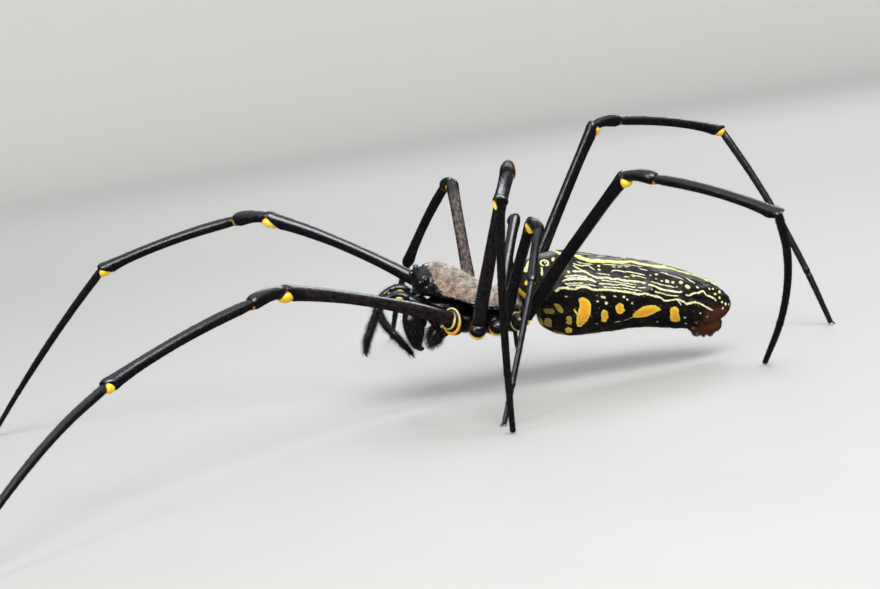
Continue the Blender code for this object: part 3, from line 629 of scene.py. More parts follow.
# Markings on the back and the belly at (back, aside from the mid-line).
backLines = (
    (0.15, 0.4, ((6.2, 1.15), (7.6, 1.1))), (0.14, 0.4, ((8.3, 1.15), (9.1, 1.2))),
    (0.15, 0.4, ((9.9, 1.05), (12.2, 1.1))), (0.13, 0.3, ((12.9, 1.05), (13.6, 1.0))),
    (0.15, 0.4, ((14.4, 1.0), (16.6, 0.95))), (0.13, 0.3, ((17.2, 0.9), (18.1, 0.85))),
    (0.14, 0.4, ((18.9, 0.8), (20.4, 0.75))), (0.12, 0.2, ((21.2, 0.7), (22.6, 0.6))),
    (0.12, 0.2, ((5.4, 0.32), (6.8, 0.3))), (0.11, 0.2, ((8.6, 0.28), (9.7, 0.3))),
    (0.12, 0.2, ((11.4, 0.3), (13.0, 0.26))), (0.11, 0.2, ((15.4, 0.25), (16.6, 0.25))),
)
backSpots = (
    (0.0, ((3.05, 0.0, 0.22), (3.1, 0.5, 0.24))), (0.0, ((3.35, 1.05, 0.26), (3.6, 1.6, 0.34), (3.95, 2.2, 0.3))),
    (0.0, ((2.75, 2.75, 0.2), (2.6, 3.1, 0.14))), (0.0, ((4.7, 2.5, 0.16), (5.3, 2.35, 0.26), (6.1, 2.3, 0.33))),
)
bellySpots = (
    (0.3, ((7.4, 1.7, 0.3), (8.2, 1.65, 0.42))), (0.2, ((11.6, 1.5, 0.26), (12.1, 1.45, 0.34))),
    (0.3, ((15.3, 1.25, 0.24), (15.8, 1.2, 0.28))), (0.8, ((3.2, 1.4, 0.5), (4.0, 1.7, 0.45))),
    (0.7, ((9.9, 0.0, 0.2), (10.3, 0.3, 0.2))), (0.6, ((18.3, 1.2, 0.18), (18.7, 1.15, 0.2))),
)
muscleDents = ((6.9, 1.75), (9.3, 0.72), (11.9, 0.75), (14.7, 0.68), (17.5, 0.6))    # back, aside; in pairs


def ringArc(width, rise, angle):
    # length along a ring from its widest level up to an angle
    steps = 24
    share = (np.arange(steps) + 0.5) / steps
    a = np.asarray(angle, float)[..., None] * share
    speed = np.sqrt((np.asarray(width, float)[..., None] * np.sin(a)) ** 2
                    + (np.asarray(rise, float)[..., None] * np.cos(a)) ** 2)
    return speed.mean(-1) * np.asarray(angle, float)


def flatMap(form):
    # turns places on the abdomen into (along, up the ring) lengths, so that markings keep their size
    profile = np.stack([form["back"], form["width"]], -1)
    run = np.concatenate([[0], np.cumsum(np.linalg.norm(np.diff(profile, axis=0), axis=1))])

    def at(back, name):
        return np.interp(back, form["back"], form[name])

    def place(points, kind):
        points = np.asarray(points, float)
        back, second = points[:, 0], points[:, 1]
        width = at(back, "width")
        if kind == "flank":
            height = second - at(back, "level")
            rise = np.where(height > 0, at(back, "top"), at(back, "bottom"))
            up = ringArc(width, rise, np.arcsin(np.clip(height / rise, -1, 1)))
        else:
            rise = at(back, "top" if kind == "back" else "bottom")
            up = (ringArc(width, rise, np.full(len(back), pi / 2)) - second) * (1 if kind == "back" else -1)
        return np.column_stack([np.interp(back, form["back"], run), up, points[:, 2:]])

    return run, place


def strokeDepth(x, y, path):
    # how deep each place lies inside a stroke, in mm; path rows are (along, up, half thickness)
    depth = np.full(x.shape, -9.0)
    reach = path[:, 2].max() + 0.3
    near = ((x > path[:, 0].min() - reach) & (x < path[:, 0].max() + reach)
            & (y > path[:, 1].min() - reach) & (y < path[:, 1].max() + reach))
    px, py = x[near][:, None], y[near][:, None]
    ax, ay, ar = path[:-1].T
    bx, by, br = path[1:].T
    dx, dy = bx - ax, by - ay
    t = np.clip(((px - ax) * dx + (py - ay) * dy) / np.maximum(dx * dx + dy * dy, 1e-9), 0, 1)
    away = np.hypot(px - ax - t * dx, py - ay - t * dy)
    depth[near] = (ar + t * (br - ar) - away).max(1)
    return depth


def markingStrokes(place):
    # every marking as (path, kind, golden, dull)
    strokes = []
    for thickness, golden, points in flankLines:
        strokes.append((points, "flank", "line", thickness / 2, golden))
    for thickness, golden, points in backLines:
        strokes.append((points, "back", "line", thickness / 2, golden))
    ready = []
    for number, (points, kind, sort, half, golden) in enumerate(strokes):
        path = place(smoothPath(points, 8 * (len(points) - 1)), kind)
        run = np.concatenate([[0], np.cumsum(np.hypot(*np.diff(path[:, :2], axis=0).T))])
        uneven = 1 + 0.22 * np.sin(run * 3.1 + number) * np.sin(run * 7.3 + 2 * number)
        ends = np.minimum(1, 0.55 + np.minimum(run, run[-1] - run) / 0.35)
        ready.append((np.column_stack([path, half * uneven * ends]), sort, golden, 0.0))
    (back, up), radius, thickness = shoulderRing
    turn = np.radians(np.arange(-70, 251, 20))
    ring = place(np.column_stack([back + radius * np.cos(turn), up + 0.62 * radius * np.sin(turn)]), "flank")
    ready.append((np.column_stack([ring, np.full(len(ring), thickness / 2)]), "line", 0.5, 0.0))
    for radius, golden, points in flankDots:
        for spot in place(points, "flank"):
            ready.append((np.array([[spot[0] - 0.03, spot[1], radius], [spot[0] + 0.03, spot[1], radius]]), "line",
                          golden, 0.0))
    for table, kind in ((flankSpots, "flank"), (backSpots, "back"), (bellySpots, "belly")):
        for dull, points in table:
            path = place(smoothPath(points, 6 * (len(points) - 1)), kind)
            sort = "line" if kind == "back" else "spot"
            ready.append((path, sort, 0.9, dull))
    return ready


def paintAbdomen(rings, form):
    # marks for every vertex: pale lines, spots, their golden, orange and dull shares, and the rusty rear
    run, place = flatMap(form)
    around = form["around"][None]
    lift = np.arcsin(np.clip(np.sin(around), -1, 1))
    rise = np.where(lift > 0, form["top"][:, None], form["bottom"][:, None])
    y = ringArc(np.broadcast_to(form["width"][:, None], rise.shape), rise, np.broadcast_to(lift, rise.shape))
    x = np.broadcast_to(run[:, None], y.shape)
    side = np.broadcast_to(np.where(np.cos(around) > 0, 1.0, 0.0), y.shape)     # 1 on the right
    flat = np.stack([x, y], -1)
    x = x + side * 0.16 * ripple(flat, 3.1, 21) + 0.03 * ripple(flat, 0.7, 22)
    y = y + side * 0.12 * ripple(flat, 2.6, 23) + 0.035 * ripple(flat, 0.6, 24)
    names = ("mark", "gold", "spot", "core", "dull")
    marks = {name: np.zeros(y.shape) for name in names}
    for path, sort, golden, dull in markingStrokes(place):
        depth = strokeDepth(x, y, path)
        mask = np.clip(depth / abdomen["edge"] + 0.5, 0, 1)
        if sort == "line":
            over = mask > marks["mark"]
            marks["mark"] = np.maximum(marks["mark"], mask)
            marks["gold"] = np.where(over, golden, marks["gold"])
        else:
            over = mask > marks["spot"]
            marks["spot"] = np.maximum(marks["spot"], mask)
            marks["dull"] = np.where(over, dull, marks["dull"])
            marks["core"] = np.maximum(marks["core"], np.clip((depth - 0.1) / 0.28, 0, 1))
    draw = np.random.default_rng(31)
    for _ in range(150):        # stray specks on the lower flank
        cx, cy, radius = draw.uniform(3, 26), draw.uniform(-5.5, 1.0), draw.uniform(0.04, 0.085)
        depth = strokeDepth(x, y, np.array([[cx, cy, radius], [cx + 0.02, cy, radius]]))
        speck = 0.55 * np.clip(depth / abdomen["edge"] + 0.5, 0, 1)
        marks["mark"] = np.maximum(marks["mark"], speck)
    back, up = rings[..., 0], rings[..., 2]
    marks["rust"] = softStep(back + 0.55 * -up + 0.5 * ripple(flat, 1.8, 25), 21.6, 23.6) * softStep(-up, -0.2, 1.4)
    marks["rust"] = np.maximum(marks["rust"], 0.5 * softStep(-up, 2.6, 3.6) * softStep(-ripple(flat, 2.2, 26), -0.2, 0.8))
    return marks, flat, place


def makeAbdomen():
    rings, form = stationedRings(abdomen["ends"], abdomen["stations"], abdomen["rows"], abdomen["columns"])
    marks, flat, place = paintAbdomen(rings, form)
    normals = ringNormals(rings)
    height = abdomen["lineRise"] * np.maximum(marks["mark"], marks["spot"])
    height = height + 0.035 * ripple(rings, 1.7, 41) + 0.018 * ripple(rings * [0.4, 1, 1], 0.6, 42)
    for back, aside in muscleDents:
        spot = place([(back, aside)], "back")[0]
        away = np.hypot(flat[..., 0] - spot[0], flat[..., 1] - spot[1])
        height = height - 0.16 * np.exp(-(away / 0.3) ** 2) + 0.04 * np.exp(-((away - 0.55) / 0.2) ** 2)
    creases = softStep(rings[..., 0], 15, 23) * np.sin(flat[..., 1] * 5.2 + 0.8 * ripple(flat, 3.0, 43))
    height = height + 0.035 * creases
    ends = np.minimum(softStep(form["t"], 0.03, 0.2), softStep(pi - form["t"], 0.03, 0.2))
    skin = rings + normals * (height * ends[:, None])[..., None]
    shape = newShape()
    lie = bodyToFloor(skin)
    addRings(shape, bodyToFloor(skin), lie=skin, **{k: v for k, v in marks.items()})
    makePiece("abdomen_skin", shape, [finishes["bands"]], ["abdomen"], keepMap=True)
    hairs = newShape()
    draw = np.random.default_rng(51)
    points, normal, along, places, _ = scatter(lie, abdomen["hairs"], draw)
    turned = turnAbout(along, normal, draw.normal(0, 0.35, len(points)))
    lengths = draw.uniform(0.12, 0.38, len(points))
    ways = turned * 0.8 + normal * draw.uniform(0.25, 0.75, len(points))[:, None]
    addHairs(hairs, points, ways, turned, lengths, draw.uniform(0.022, 0.034, len(points)), places,
             tone=draw.random(len(points)) ** 2)
    makePiece("abdomen_hairs", hairs, [finishes["bristle"]], keepMap=True)


waist = {"path": ((-1.9, 0, -2.0), (-1.2, 0, -1.9), (-0.85, 0, -1.95), (-0.5, 0, -1.9), (0.1, 0, -1.7)),
         "radii": (0.8, 0.66, 0.72, 0.66, 0.85), "tall": 1.25}


def makeWaist():
    path, _ = evenPath(waist["path"], 0.06)
    rings, lie = sweptRings(path, waist["radii"], 40, tall=waist["tall"], capLength=(0.2, 0.2))
    shape = newShape()
    low = softStep(-(rings[..., 2] + 2.0), 0.0, 0.5)
    addRings(shape, bodyToFloor(rings), 0, lie=lie, brown=0.5 * low, matte=0.3)
    for back, size in ((-1.35, 0.86), (-0.28, 0.92)):
        turn = np.linspace(0, 2 * pi, 49)
        loop = np.stack([np.full(49, back), size * np.sin(turn), -1.95 + size * 1.15 * np.cos(turn)], -1)
        thick = 0.07 + 0.16 * softStep(-np.cos(turn), -0.3, 0.9)
        addRing(shape, loop, thick, 1)
    makePiece("waist_skin", shape, [finishes["cuticle"], finishes["membrane"]], ["pedicel"])


def addRing(shape, loop, thick, slot, flat=1.0, warmth=0.3, inBody=True):
    # a closed roll of skin round a joint, its path coming back to its start, wider along the limb than it is deep
    middle = loop[:-1].mean(0)
    along = unit(np.roll(loop[:-1], -1, axis=0) - np.roll(loop[:-1], 1, axis=0))
    out = unit(loop[:-1] - middle)
    other = np.cross(along, out)
    turn = np.linspace(0, 2 * pi, 12, endpoint=False)
    size = thick[:-1, None, None]
    roll = loop[:-1, None] + size * (np.cos(turn)[None, :, None] * out[:, None] * flat
                                     + np.sin(turn)[None, :, None] * other[:, None])
    rows, columns = roll.shape[:2]
    i, j = (a.ravel() for a in np.meshgrid(np.arange(rows), np.arange(columns), indexing="ij"))
    ni, nj = (i + 1) % rows, (j + 1) % columns
    quads = np.stack([i * columns + j, i * columns + nj, ni * columns + nj, ni * columns + j], -1)
    points = roll.reshape(-1, 3)
    points = bodyToFloor(points) if inBody else points
    a, b, c, d = (points[quads[:, q]] for q in range(4))
    if np.einsum("ij,ij->", a, np.cross(b, c)) + np.einsum("ij,ij->", a, np.cross(c, d)) < 0:
        quads = quads[:, ::-1]
    spots = np.stack([i / rows, j / columns], -1)[:, None, :] * np.ones((1, 4, 1))
    warmth = np.repeat((warmth * np.ones(len(loop)))[:-1], columns)[:, None]
    addFaces(shape, points, [quads], [spots], slot, {"lie": roll.reshape(-1, 3), "warmth": warmth})


makeAbdomen()
makeWaist()
print("abdomen and waist made")


# The carapace with its down and eyes

carapace = {
    "ends": ((-15.2, 2.2), (-1.2, -0.75)),
    "stations": ((-14.4, 2.7, 4.15, 1.9, 0.75), (-13.2, 3.7, 4.75, 1.5, 0.6), (-11.8, 4.1, 4.8, 1.1, 0.45),
                 (-9.5, 4.7, 4.0, 0.7, 0.1), (-7.3, 5.6, 2.7, 0.1, -0.35), (-5.0, 5.8, 1.8, -0.2, -0.65),
                 (-2.8, 4.6, 1.1, -0.45, -0.85), (-1.6, 2.6, 0.2, -0.6, -0.95)),
    "rows": 220, "columns": 260,
    "pit": (-5.4, 0.9, 0.42),                 # the crosswise pit: back, half width, depth
    "tufts": 19000, "strays": 4000,
}
# bumps fused to the head: where they rise from, their centre, their half sizes
headBumps = (
    ((-12.8, 0.0, 2.9), (-14.1, 0.0, 3.45), (1.2, 1.2, 1.02)),
    ((-12.7, -2.1, 2.3), (-13.5, -3.05, 2.75), (0.7, 0.7, 0.7)),
    ((-12.7, 2.1, 2.3), (-13.5, 3.05, 2.75), (0.7, 0.7, 0.7)),
    ((-10.6, -1.5, 3.0), (-10.6, -1.5, 3.65), (0.42, 0.42, 0.8)),
    ((-10.6, 1.5, 3.0), (-10.6, 1.5, 3.65), (0.42, 0.42, 0.8)),
)
eyes = {
    "mound": (-14.1, 0.0, 3.45, 1.2, 0.85), "tubercle": (-13.5, 3.05, 2.75, 0.7, 1.0),
    "gap": 0.12,
    "each": {"front_median": ("mound", (-0.88, 0.46, 0.02), 0.34), "rear_median": ("mound", (-0.52, 0.5, 0.7), 0.32),
             "front_lateral": ("tubercle", (-0.8, 0.55, -0.2), 0.26),
             "rear_lateral": ("tubercle", (-0.3, 0.78, 0.55), 0.26)},
}


def raiseBump(points, origin, centre, half):
    # moves the skin out to the bump where the bump stands beyond it, with a fillet round its foot
    origin, centre, half = (np.array(v, float) for v in (origin, centre, half))
    gap = points - origin
    reach = np.linalg.norm(gap, axis=-1)
    way = gap / reach[..., None]
    d, o = way / half, (origin - centre) / half
    a, b, c = (d * d).sum(-1), (d * o).sum(-1), (o * o).sum(-1) - 1
    disc = b * b - a * c
    out = np.where(disc > 0, (-b + np.sqrt(np.maximum(disc, 0))) / a, 0)
    fillet = 0.16
    h = np.clip(0.5 + 0.5 * (out - reach) / fillet, 0, 1)
    joined = reach * (1 - h) + out * h + fillet * h * (1 - h)
    return origin + way * np.maximum(reach, np.where(disc > 0, joined, reach))[..., None]


def carapaceRings():
    rings, form = stationedRings(carapace["ends"], carapace["stations"], carapace["rows"], carapace["columns"])
    back, aside, up = rings[..., 0], rings[..., 1], rings[..., 2]
    above = softStep(np.broadcast_to(np.sin(form["around"])[None], back.shape), 0.0, 0.4)
    normals = ringNormals(rings)
    pitBack, pitHalf, pitDepth = carapace["pit"]
    sink = pitDepth * np.exp(-((back - pitBack) / 0.55) ** 2 - (aside / pitHalf) ** 2)
    neck = np.abs(back - (pitBack - 0.3 - 1.25 * np.abs(aside)))       # the grooves behind the head
    sink = sink + 0.3 * np.exp(-(neck / 0.5) ** 2) * softStep(np.abs(aside), 0.3, 1.4)
    spoke = np.arctan2(np.abs(aside), back - pitBack)
    far = np.hypot(back - pitBack, aside)
    for angle in (18, 48, 80):                                        # furrows that fan out to the legs
        sink = sink + 0.16 * np.exp(-((spoke - radians(angle)) * far / 0.42) ** 2) * softStep(far, 0.9, 2.4)
    height = -sink * above + 0.02 * ripple(rings, 0.9, 61)
    brim = np.exp(-((np.sin(form["around"])[None] - 0.02) / 0.05) ** 2) * softStep(back, -11.5, -9.5)
    height = height + 0.1 * brim
    ends = np.minimum(softStep(form["t"], 0.03, 0.25), softStep(pi - form["t"], 0.03, 0.25))
    rings = rings + normals * (height * ends[:, None])[..., None]
    for origin, centre, half in headBumps:
        rings = raiseBump(rings, origin, centre, half)
    return rings, form


def downShare(points):
    # 1 where the down grows: behind a slanting line over the head, above the bare brim
    back, aside, up = points[..., 0], points[..., 1], points[..., 2]
    line = -13.45 + 0.56 * (4.75 - up) + 0.16 * ripple(points, 0.9, 62)
    brim = 1.0 - 0.17 * (back + 9.5)
    return softStep(back - line, 0.0, 0.3) * softStep(up - brim + 0.3 * ripple(points, 1.2, 63), -0.35, 0.25)


def makeCarapace():
    rings, form = carapaceRings()
    furred = downShare(rings)
    shape = newShape()
    addRings(shape, bodyToFloor(rings), lie=rings * 0.45, brown=furred, matte=1.5 * furred - 0.65,
             dim=np.full(furred.shape, 0.35))
    makePiece("carapace_shell", shape, [finishes["cuticle"]], ["carapace"], keepMap=True)

    draw = np.random.default_rng(71)
    floor = bodyToFloor(rings)
    for name, count, lengthRange, width, lift in (("carapace_down", carapace["tufts"], (0.26, 0.5), 0.046, 0.26),
                                                  ("carapace_fluff", carapace["strays"], (0.4, 0.8), 0.03, 0.6)):
        points, normal, along, places, (i, j) = scatter(floor, count, draw, furred ** 2)
        here = rings[i, j]
        patch = ripple(here, 1.9, 64) + 0.6 * ripple(here, 0.6, 65)
        clump = 0.7 * ripple(here, 1.0, 67) + 0.7 * ripple(here, 0.55, 68)
        swirl = 0.9 * ripple(here, 1.6, 66) + 0.5 * clump + draw.normal(0, 0.3, count)
        lies = turnAbout(along, normal, swirl)
        up = np.clip(draw.normal(lift, 0.14, count) + 0.16 * clump, 0.06, 1.2)[:, None]
        lengths = draw.uniform(*lengthRange, count) * (0.75 + 0.25 * softStep(here[:, 0], -13, -10))
        # how high on the flank, and how near the bare face
        high = softStep(here[:, 2] + 0.42 * (here[:, 0] + 9.5), 1.6, 4.2)
        near = 1 - softStep(here[:, 0] - 0.66 * (4.75 - here[:, 2]), -12.6, -9.6)
        tone = draw.normal(0.84, 0.12, count) + 0.1 * patch + 0.45 * clump - 0.35 * near * (1 - high)
        tone = tone - 0.5 * softStep(-clump, 0.6, 1.1) * (1 - 0.5 * high)          # dark specks
        warm = np.clip(0.95 - 0.9 * high - 0.3 * patch + 0.3 * near + draw.normal(0, 0.12, count), 0, 1)
        shape = newShape()
        addHairs(shape, points, lies * np.cos(up) + normal * np.sin(up), lies, lengths,
                 draw.uniform(0.7, 1.25, count) * width, places, flat=0.35, bend=0.3, tone=np.clip(tone, 0, 1),
                 warm=warm)
        makePiece(name, shape, [finishes["down"]], keepMap=True)


def makeEyes():
    for sideName, side in sideSigns.items():
        for eye, (seat, look, radius) in eyes["each"].items():
            back, aside, up, seatRadius, squash = eyes[seat]
            aim = unit((look[0], side * look[1], look[2]))
            reach = seatRadius / (aim[0] ** 2 + aim[1] ** 2 + (aim[2] / squash) ** 2) ** 0.5
            centre = np.array((back, side * aside, up)) + aim * (reach + eyes["gap"] * 0.5)
            across = unit(np.cross(aim, (0, 0, 1)))
            axes = (across, np.cross(aim, across), aim)
            shape = newShape()
            addRings(shape, bodyToFloor(ballRings(centre, (radius,) * 3, axes, 26, 36)), 0, lie=0.0 * np.ones(3))
            turn = np.linspace(0, 2 * pi, 37)
            collar = centre + (axes[0] * np.cos(turn)[:, None] + axes[1] * np.sin(turn)[:, None]) * radius * 0.97
            addRing(shape, collar, np.full(37, 0.07), 1)
            makePiece(f"eye_{sideName}_{eye}_lens", shape, [finishes["lens"], finishes["cuticle"]],
                      [f"eye_{sideName}_{eye}"])


makeCarapace()
makeEyes()
print("carapace, down and eyes made")


# The mouthparts and the breast plate

sternum = {
    "ends": ((-11.2, -2.2), (-1.95, -2.3)),
    "stations": ((-10.4, 1.5, -0.7, -2.3, -3.7), (-8.4, 2.45, -0.75, -2.4, -4.1), (-5.6, 2.5, -1.1, -2.4, -4.2),
                 (-3.2, 1.8, -1.3, -2.4, -3.7)),
    "maxilla": ((-10.4, 0.9, -3.0), (-11.7, 1.15, -4.0), (-12.4, 1.2, -5.0), (-12.7, 1.15, -5.65)),
    "maxillaRadii": (0.9, 0.95, 0.85, 0.6),
    "lip": ((-11.4, 0.0, -3.7), (1.0, 0.7, 0.9)),
    "throat": ((-10.4, 0.0, -0.55), (3.1, 2.9, 1.5)),
}
jaw = {
    "path": ((-13.5, 1.6, -1.35), (-14.75, 1.65, -2.3), (-14.75, 1.6, -4.0), (-14.55, 1.45, -5.3), (-14.3, 1.25, -6.1)),
    "radii": (1.2, 1.4, 1.18, 0.85, 0.35),
    "fang": ((-14.6, 1.5, -5.5), (-14.1, 0.95, -6.2), (-13.6, 0.5, -6.25)), "fangRadii": (0.4, 0.28, 0.12),
    "upper": ((-13.4, 1.5, 0.2), (-14.0, 1.55, -0.6), (-14.5, 1.6, -1.6)), "upperRadii": (1.0, 1.35, 1.3),
}


def bristlesOn(shape, rings, count, lengthRange, width, draw, weight=None, lift=(0.5, 1.0), lieSign=1, spreadAngle=0.4):
    points, normal, along, places, _ = scatter(rings, count, draw, weight)
    lies = turnAbout(along * lieSign, normal, draw.normal(0, spreadAngle, count))
    up = draw.uniform(*lift, count)[:, None]
    addHairs(shape, points, lies * np.cos(up) + normal * np.sin(up), lies, draw.uniform(*lengthRange, count),
             draw.uniform(0.8, 1.2, count) * width, places, tone=draw.random(count) ** 4)


def makeBreast():
    draw = np.random.default_rng(81)
    rings, form = stationedRings(sternum["ends"], sternum["stations"], 110, 120)
    normals = ringNormals(rings)
    below = softStep(-np.sin(form["around"]), 0.2, 0.5)[None]
    seam = np.exp(-((np.sin(form["around"])[None] + 0.42) / 0.07) ** 2)
    rings = rings + normals * (0.015 * ripple(rings, 0.6, 82) - 0.12 * seam)[..., None]
    shape, hairs = newShape(), newShape()
    addRings(shape, bodyToFloor(rings), lie=rings, brown=0.0, matte=0.25)
    bristlesOn(hairs, bodyToFloor(rings), 700, (0.2, 0.55), 0.035, draw, np.broadcast_to(below, rings.shape[:2]))
    for side in sideSigns.values():
        path, _ = evenPath(mirrored(sternum["maxilla"], side), 0.08)
        pad, lie = sweptRings(path, sternum["maxillaRadii"], 44, tall=1.1, capLength=(0.6, 1.0))
        pad = pad + ringNormals(pad) * (0.03 * ripple(pad, 0.7, 83))[..., None]
        addRings(shape, bodyToFloor(pad), lie=lie, brown=0.12, matte=0.2)
        bristlesOn(hairs, bodyToFloor(pad), 520, (0.45, 1.05), 0.04, draw,
                   np.repeat(softStep(np.arange(len(path)) / len(path), 0.25, 0.6)[:, None], 44, 1))
    for name in ("lip", "throat"):
        centre, half = sternum[name]
        form = ballRings(centre, half, np.eye(3), 40, 56)
        form = form + ringNormals(form) * (0.02 * ripple(form, 0.8, 84))[..., None]
        addRings(shape, bodyToFloor(form), lie=form, brown=0.0, matte=0.2)
    makePiece("breast_plate", shape, [finishes["cuticle"]], ["sternum"])
    makePiece("breast_bristles", hairs, [finishes["bristle"]], keepMap=True)


def makeJaws():
    draw = np.random.default_rng(91)
    hairs = newShape()
    for sideName, side in sideSigns.items():
        path, _ = evenPath(mirrored(jaw["path"], side), 0.07)
        rings, lie = sweptRings(path, jaw["radii"], 64, hint=(1, 0, 0), tall=1.15, capLength=(0.8, 0.9))
        rings = rings + ringNormals(rings) * (0.025 * ripple(rings, 0.9, 92))[..., None]
        shape = newShape()
        addRings(shape, bodyToFloor(rings), lie=lie, brown=0.0, matte=0.0)
        path, _ = evenPath(mirrored(jaw["upper"], side), 0.07)
        stem, stemLie = sweptRings(path, jaw["upperRadii"], 48, hint=(1, 0, 0), capLength=(0.7, 0.7))
        addRings(shape, bodyToFloor(stem), lie=stemLie, brown=0.0, matte=0.1)
        path, _ = evenPath(mirrored(jaw["fang"], side), 0.04)
        fang, fangLie = sweptRings(path, jaw["fangRadii"], 24, capLength=(0.4, 0.6))
        addRings(shape, bodyToFloor(fang), 1, lie=fangLie)
        low = np.repeat(softStep(np.arange(len(rings)) / len(rings), 0.25, 0.9)[:, None], 64, 1) + 0.15
        bristlesOn(hairs, bodyToFloor(rings), 420, (0.25, 0.75), 0.036, draw, low)
        makePiece(f"jaw_{sideName}", shape, [finishes["cuticle"], finishes["horn"]],
                  [f"chelicera_{sideName}"])
    makePiece("jaw_bristles", hairs, [finishes["bristle"]], keepMap=True)


palps = {
    "upper": ((-11.7, 2.7, -3.6), (-12.6, 3.3, -2.2), (-13.9, 3.85, -0.6), (-15.3, 3.9, 0.5), (-16.8, 3.8, 1.1),
              (-18.3, 3.6, 0.6), (-19.3, 3.4, -0.6), (-19.7, 3.3, -1.5)),
    "upperRadii": (0.4, 0.45, 0.5, 0.58, 0.56, 0.52, 0.56, 0.5),
    "lower": {"left": ((-19.3, 3.4, -0.6), (-19.7, 3.3, -1.5), (-20.3, 3.1, -3.2), (-20.85, 2.9, -5.0), (-21.0, 2.8, -6.5)),
              "right": ((-19.3, 3.4, -0.6), (-19.6, 3.3, -1.5), (-18.6, 3.0, -3.6), (-16.8, 2.6, -5.5),
                        (-15.0, 2.3, -7.4))},
    "lowerRadii": (0.5, 0.5, 0.5, 0.44, 0.28),
}


def makePalps():
    draw = np.random.default_rng(101)
    for sideName, side in sideSigns.items():
        shape, hairs = newShape(), newShape()
        upper, lower = mirrored(palps["upper"], side), mirrored(palps["lower"][sideName], side)
        path, run = evenPath(upper, 0.08)
        share = run / run[-1]
        radii = smoothValue(np.linspace(0, 1, 30), np.linspace(0, 1, 8), palps["upperRadii"])
        pinch = 1.0
        for place in (0.3, 0.52, 0.77):
            pinch = pinch - 0.13 * np.exp(-((np.linspace(0, 1, 30) - place) / 0.025) ** 2)
        rings, lie = sweptRings(path, radii * pinch, 32, capLength=(0.5, 0.5))
        addRings(shape, bodyToFloor(rings), lie=lie, brown=0.0, matte=0.1)
        bristlesOn(hairs, bodyToFloor(rings), 520, (0.25, 0.7), 0.034, draw)
        for place, long in ((0.30, 0.4), (0.44, 0.52), (0.62, 0.85), (0.78, 0.4)):
            k = int(place * (len(path) - 1))
            way = unit(path[k + 1] - path[k - 1])
            under = unit(np.array((0.35, 0, -1.0)) - way * (np.array((0.35, 0, -1.0)) @ way))
            axes = (np.cross(under, way), under, way)
            pad = ballRings(path[k] + under * 0.27, (0.56, 0.44, long), axes, 18, 26)
            addRings(shape, bodyToFloor(pad), 1, lie=pad, warmth=0.3)
        path, run = evenPath(lower, 0.08)
        start = np.argmin(np.abs(run - 0.55))
        path = path[start:]
        radii = smoothValue(np.linspace(0, 1, 30), np.linspace(0, 1, 5), palps["lowerRadii"])
        pinch = 1 - 0.14 * np.exp(-((np.linspace(0, 1, 30) - 0.5) / 0.03) ** 2)
        rings, lie = sweptRings(path, radii * pinch, 32, capLength=(0.5, 0.8))
        addRings(shape, bodyToFloor(rings), lie=lie, brown=0.0, matte=0.15)
        bristlesOn(hairs, bodyToFloor(rings), 900, (0.3, 0.85), 0.034, draw, lift=(0.35, 0.9))
        tip = path[-1]
        hook = np.stack([tip, tip + (0.1, 0, -0.3), tip + (0.32, 0, -0.42)])
        claw, clawLie = sweptRings(evenPath(hook, 0.04)[0], (0.11, 0.08, 0.02), 12, capLength=(0.2, 0.2))
        addRings(shape, bodyToFloor(claw), 2, lie=clawLie)
        makePiece(f"palp_{sideName}_skin", shape, [finishes["cuticle"], finishes["membrane"], finishes["horn"]],
                  [f"palp_{sideName}_femur", f"palp_{sideName}_tibia"])
        makePiece(f"palp_{sideName}_bristles", hairs, [finishes["bristle"]], keepMap=True)


spinnerets = {
    "base": (22.35, 0.0, -2.95), "half": (2.35, 2.1, 1.6),
    "each": (((21.4, 0.7, -3.9), (21.4, 0.62, -4.62), 0.5), ((22.3, 0.35, -4.1), (22.4, 0.3, -4.66), 0.28),
             ((23.0, 0.65, -3.8), (23.2, 0.5, -4.58), 0.44)),
    "flap": ((23.9, 0.0, -3.2), (24.2, 0.0, -4.0), 0.4),
}


def makeSpinnerets():
    draw = np.random.default_rng(111)
    shape, hairs = newShape(), newShape()
    base = ballRings(spinnerets["base"], spinnerets["half"], np.eye(3), 50, 70)
    folds = np.sin(base[..., 0] * 6.0 + 1.5 * ripple(base, 1.5, 113)) * softStep(-base[..., 2], 2.0, 3.2)
    base = base + ringNormals(base) * (0.06 * ripple(base, 0.8, 112) + 0.05 * folds)[..., None]
    none = {name: 0.0 for name in ("mark", "gold", "spot", "core", "dull")}
    addRings(shape, bodyToFloor(base), 1, lie=base, rust=1.0, **none)
    cones = [spinnerets["flap"]]
    for start, stop, radius in spinnerets["each"]:
        cones += [(*mirrored((start, stop), side), radius) for side in sideSigns.values()]
    for start, stop, radius in cones:
        start, stop = np.array(start), np.array(stop)
        path, _ = evenPath(np.stack([start, (start + stop) / 2, stop]), 0.05)
        rings, lie = sweptRings(path, (radius, radius * 1.05, radius * 0.98, radius * 0.82, radius * 0.7), 28,
                                hint=(1, 0, 0), capLength=(0.3, 0.5))
        groove = 1 - 0.06 * np.exp(-((np.arange(len(path)) / len(path) - 0.55) / 0.05) ** 2)
        rings = path[:, None] + (rings - path[:, None]) * groove[:, None, None]
        addRings(shape, bodyToFloor(rings), lie=lie, brown=0.6, matte=0.4)
        bristlesOn(hairs, bodyToFloor(rings), 130, (0.12, 0.32), 0.028, draw, lift=(0.4, 0.9))
    bristlesOn(hairs, bodyToFloor(base), 420, (0.12, 0.35), 0.03, draw, lift=(0.4, 0.9))
    makePiece("spinneret_cluster", shape, [finishes["cuticle"], finishes["bands"]], ["spinnerets"])
    makePiece("spinneret_bristles", hairs, [finishes["bristle"]], keepMap=True)


makeBreast()
makeJaws()
makePalps()
makeSpinnerets()
print("mouthparts, breast plate and spinnerets made")


# The legs

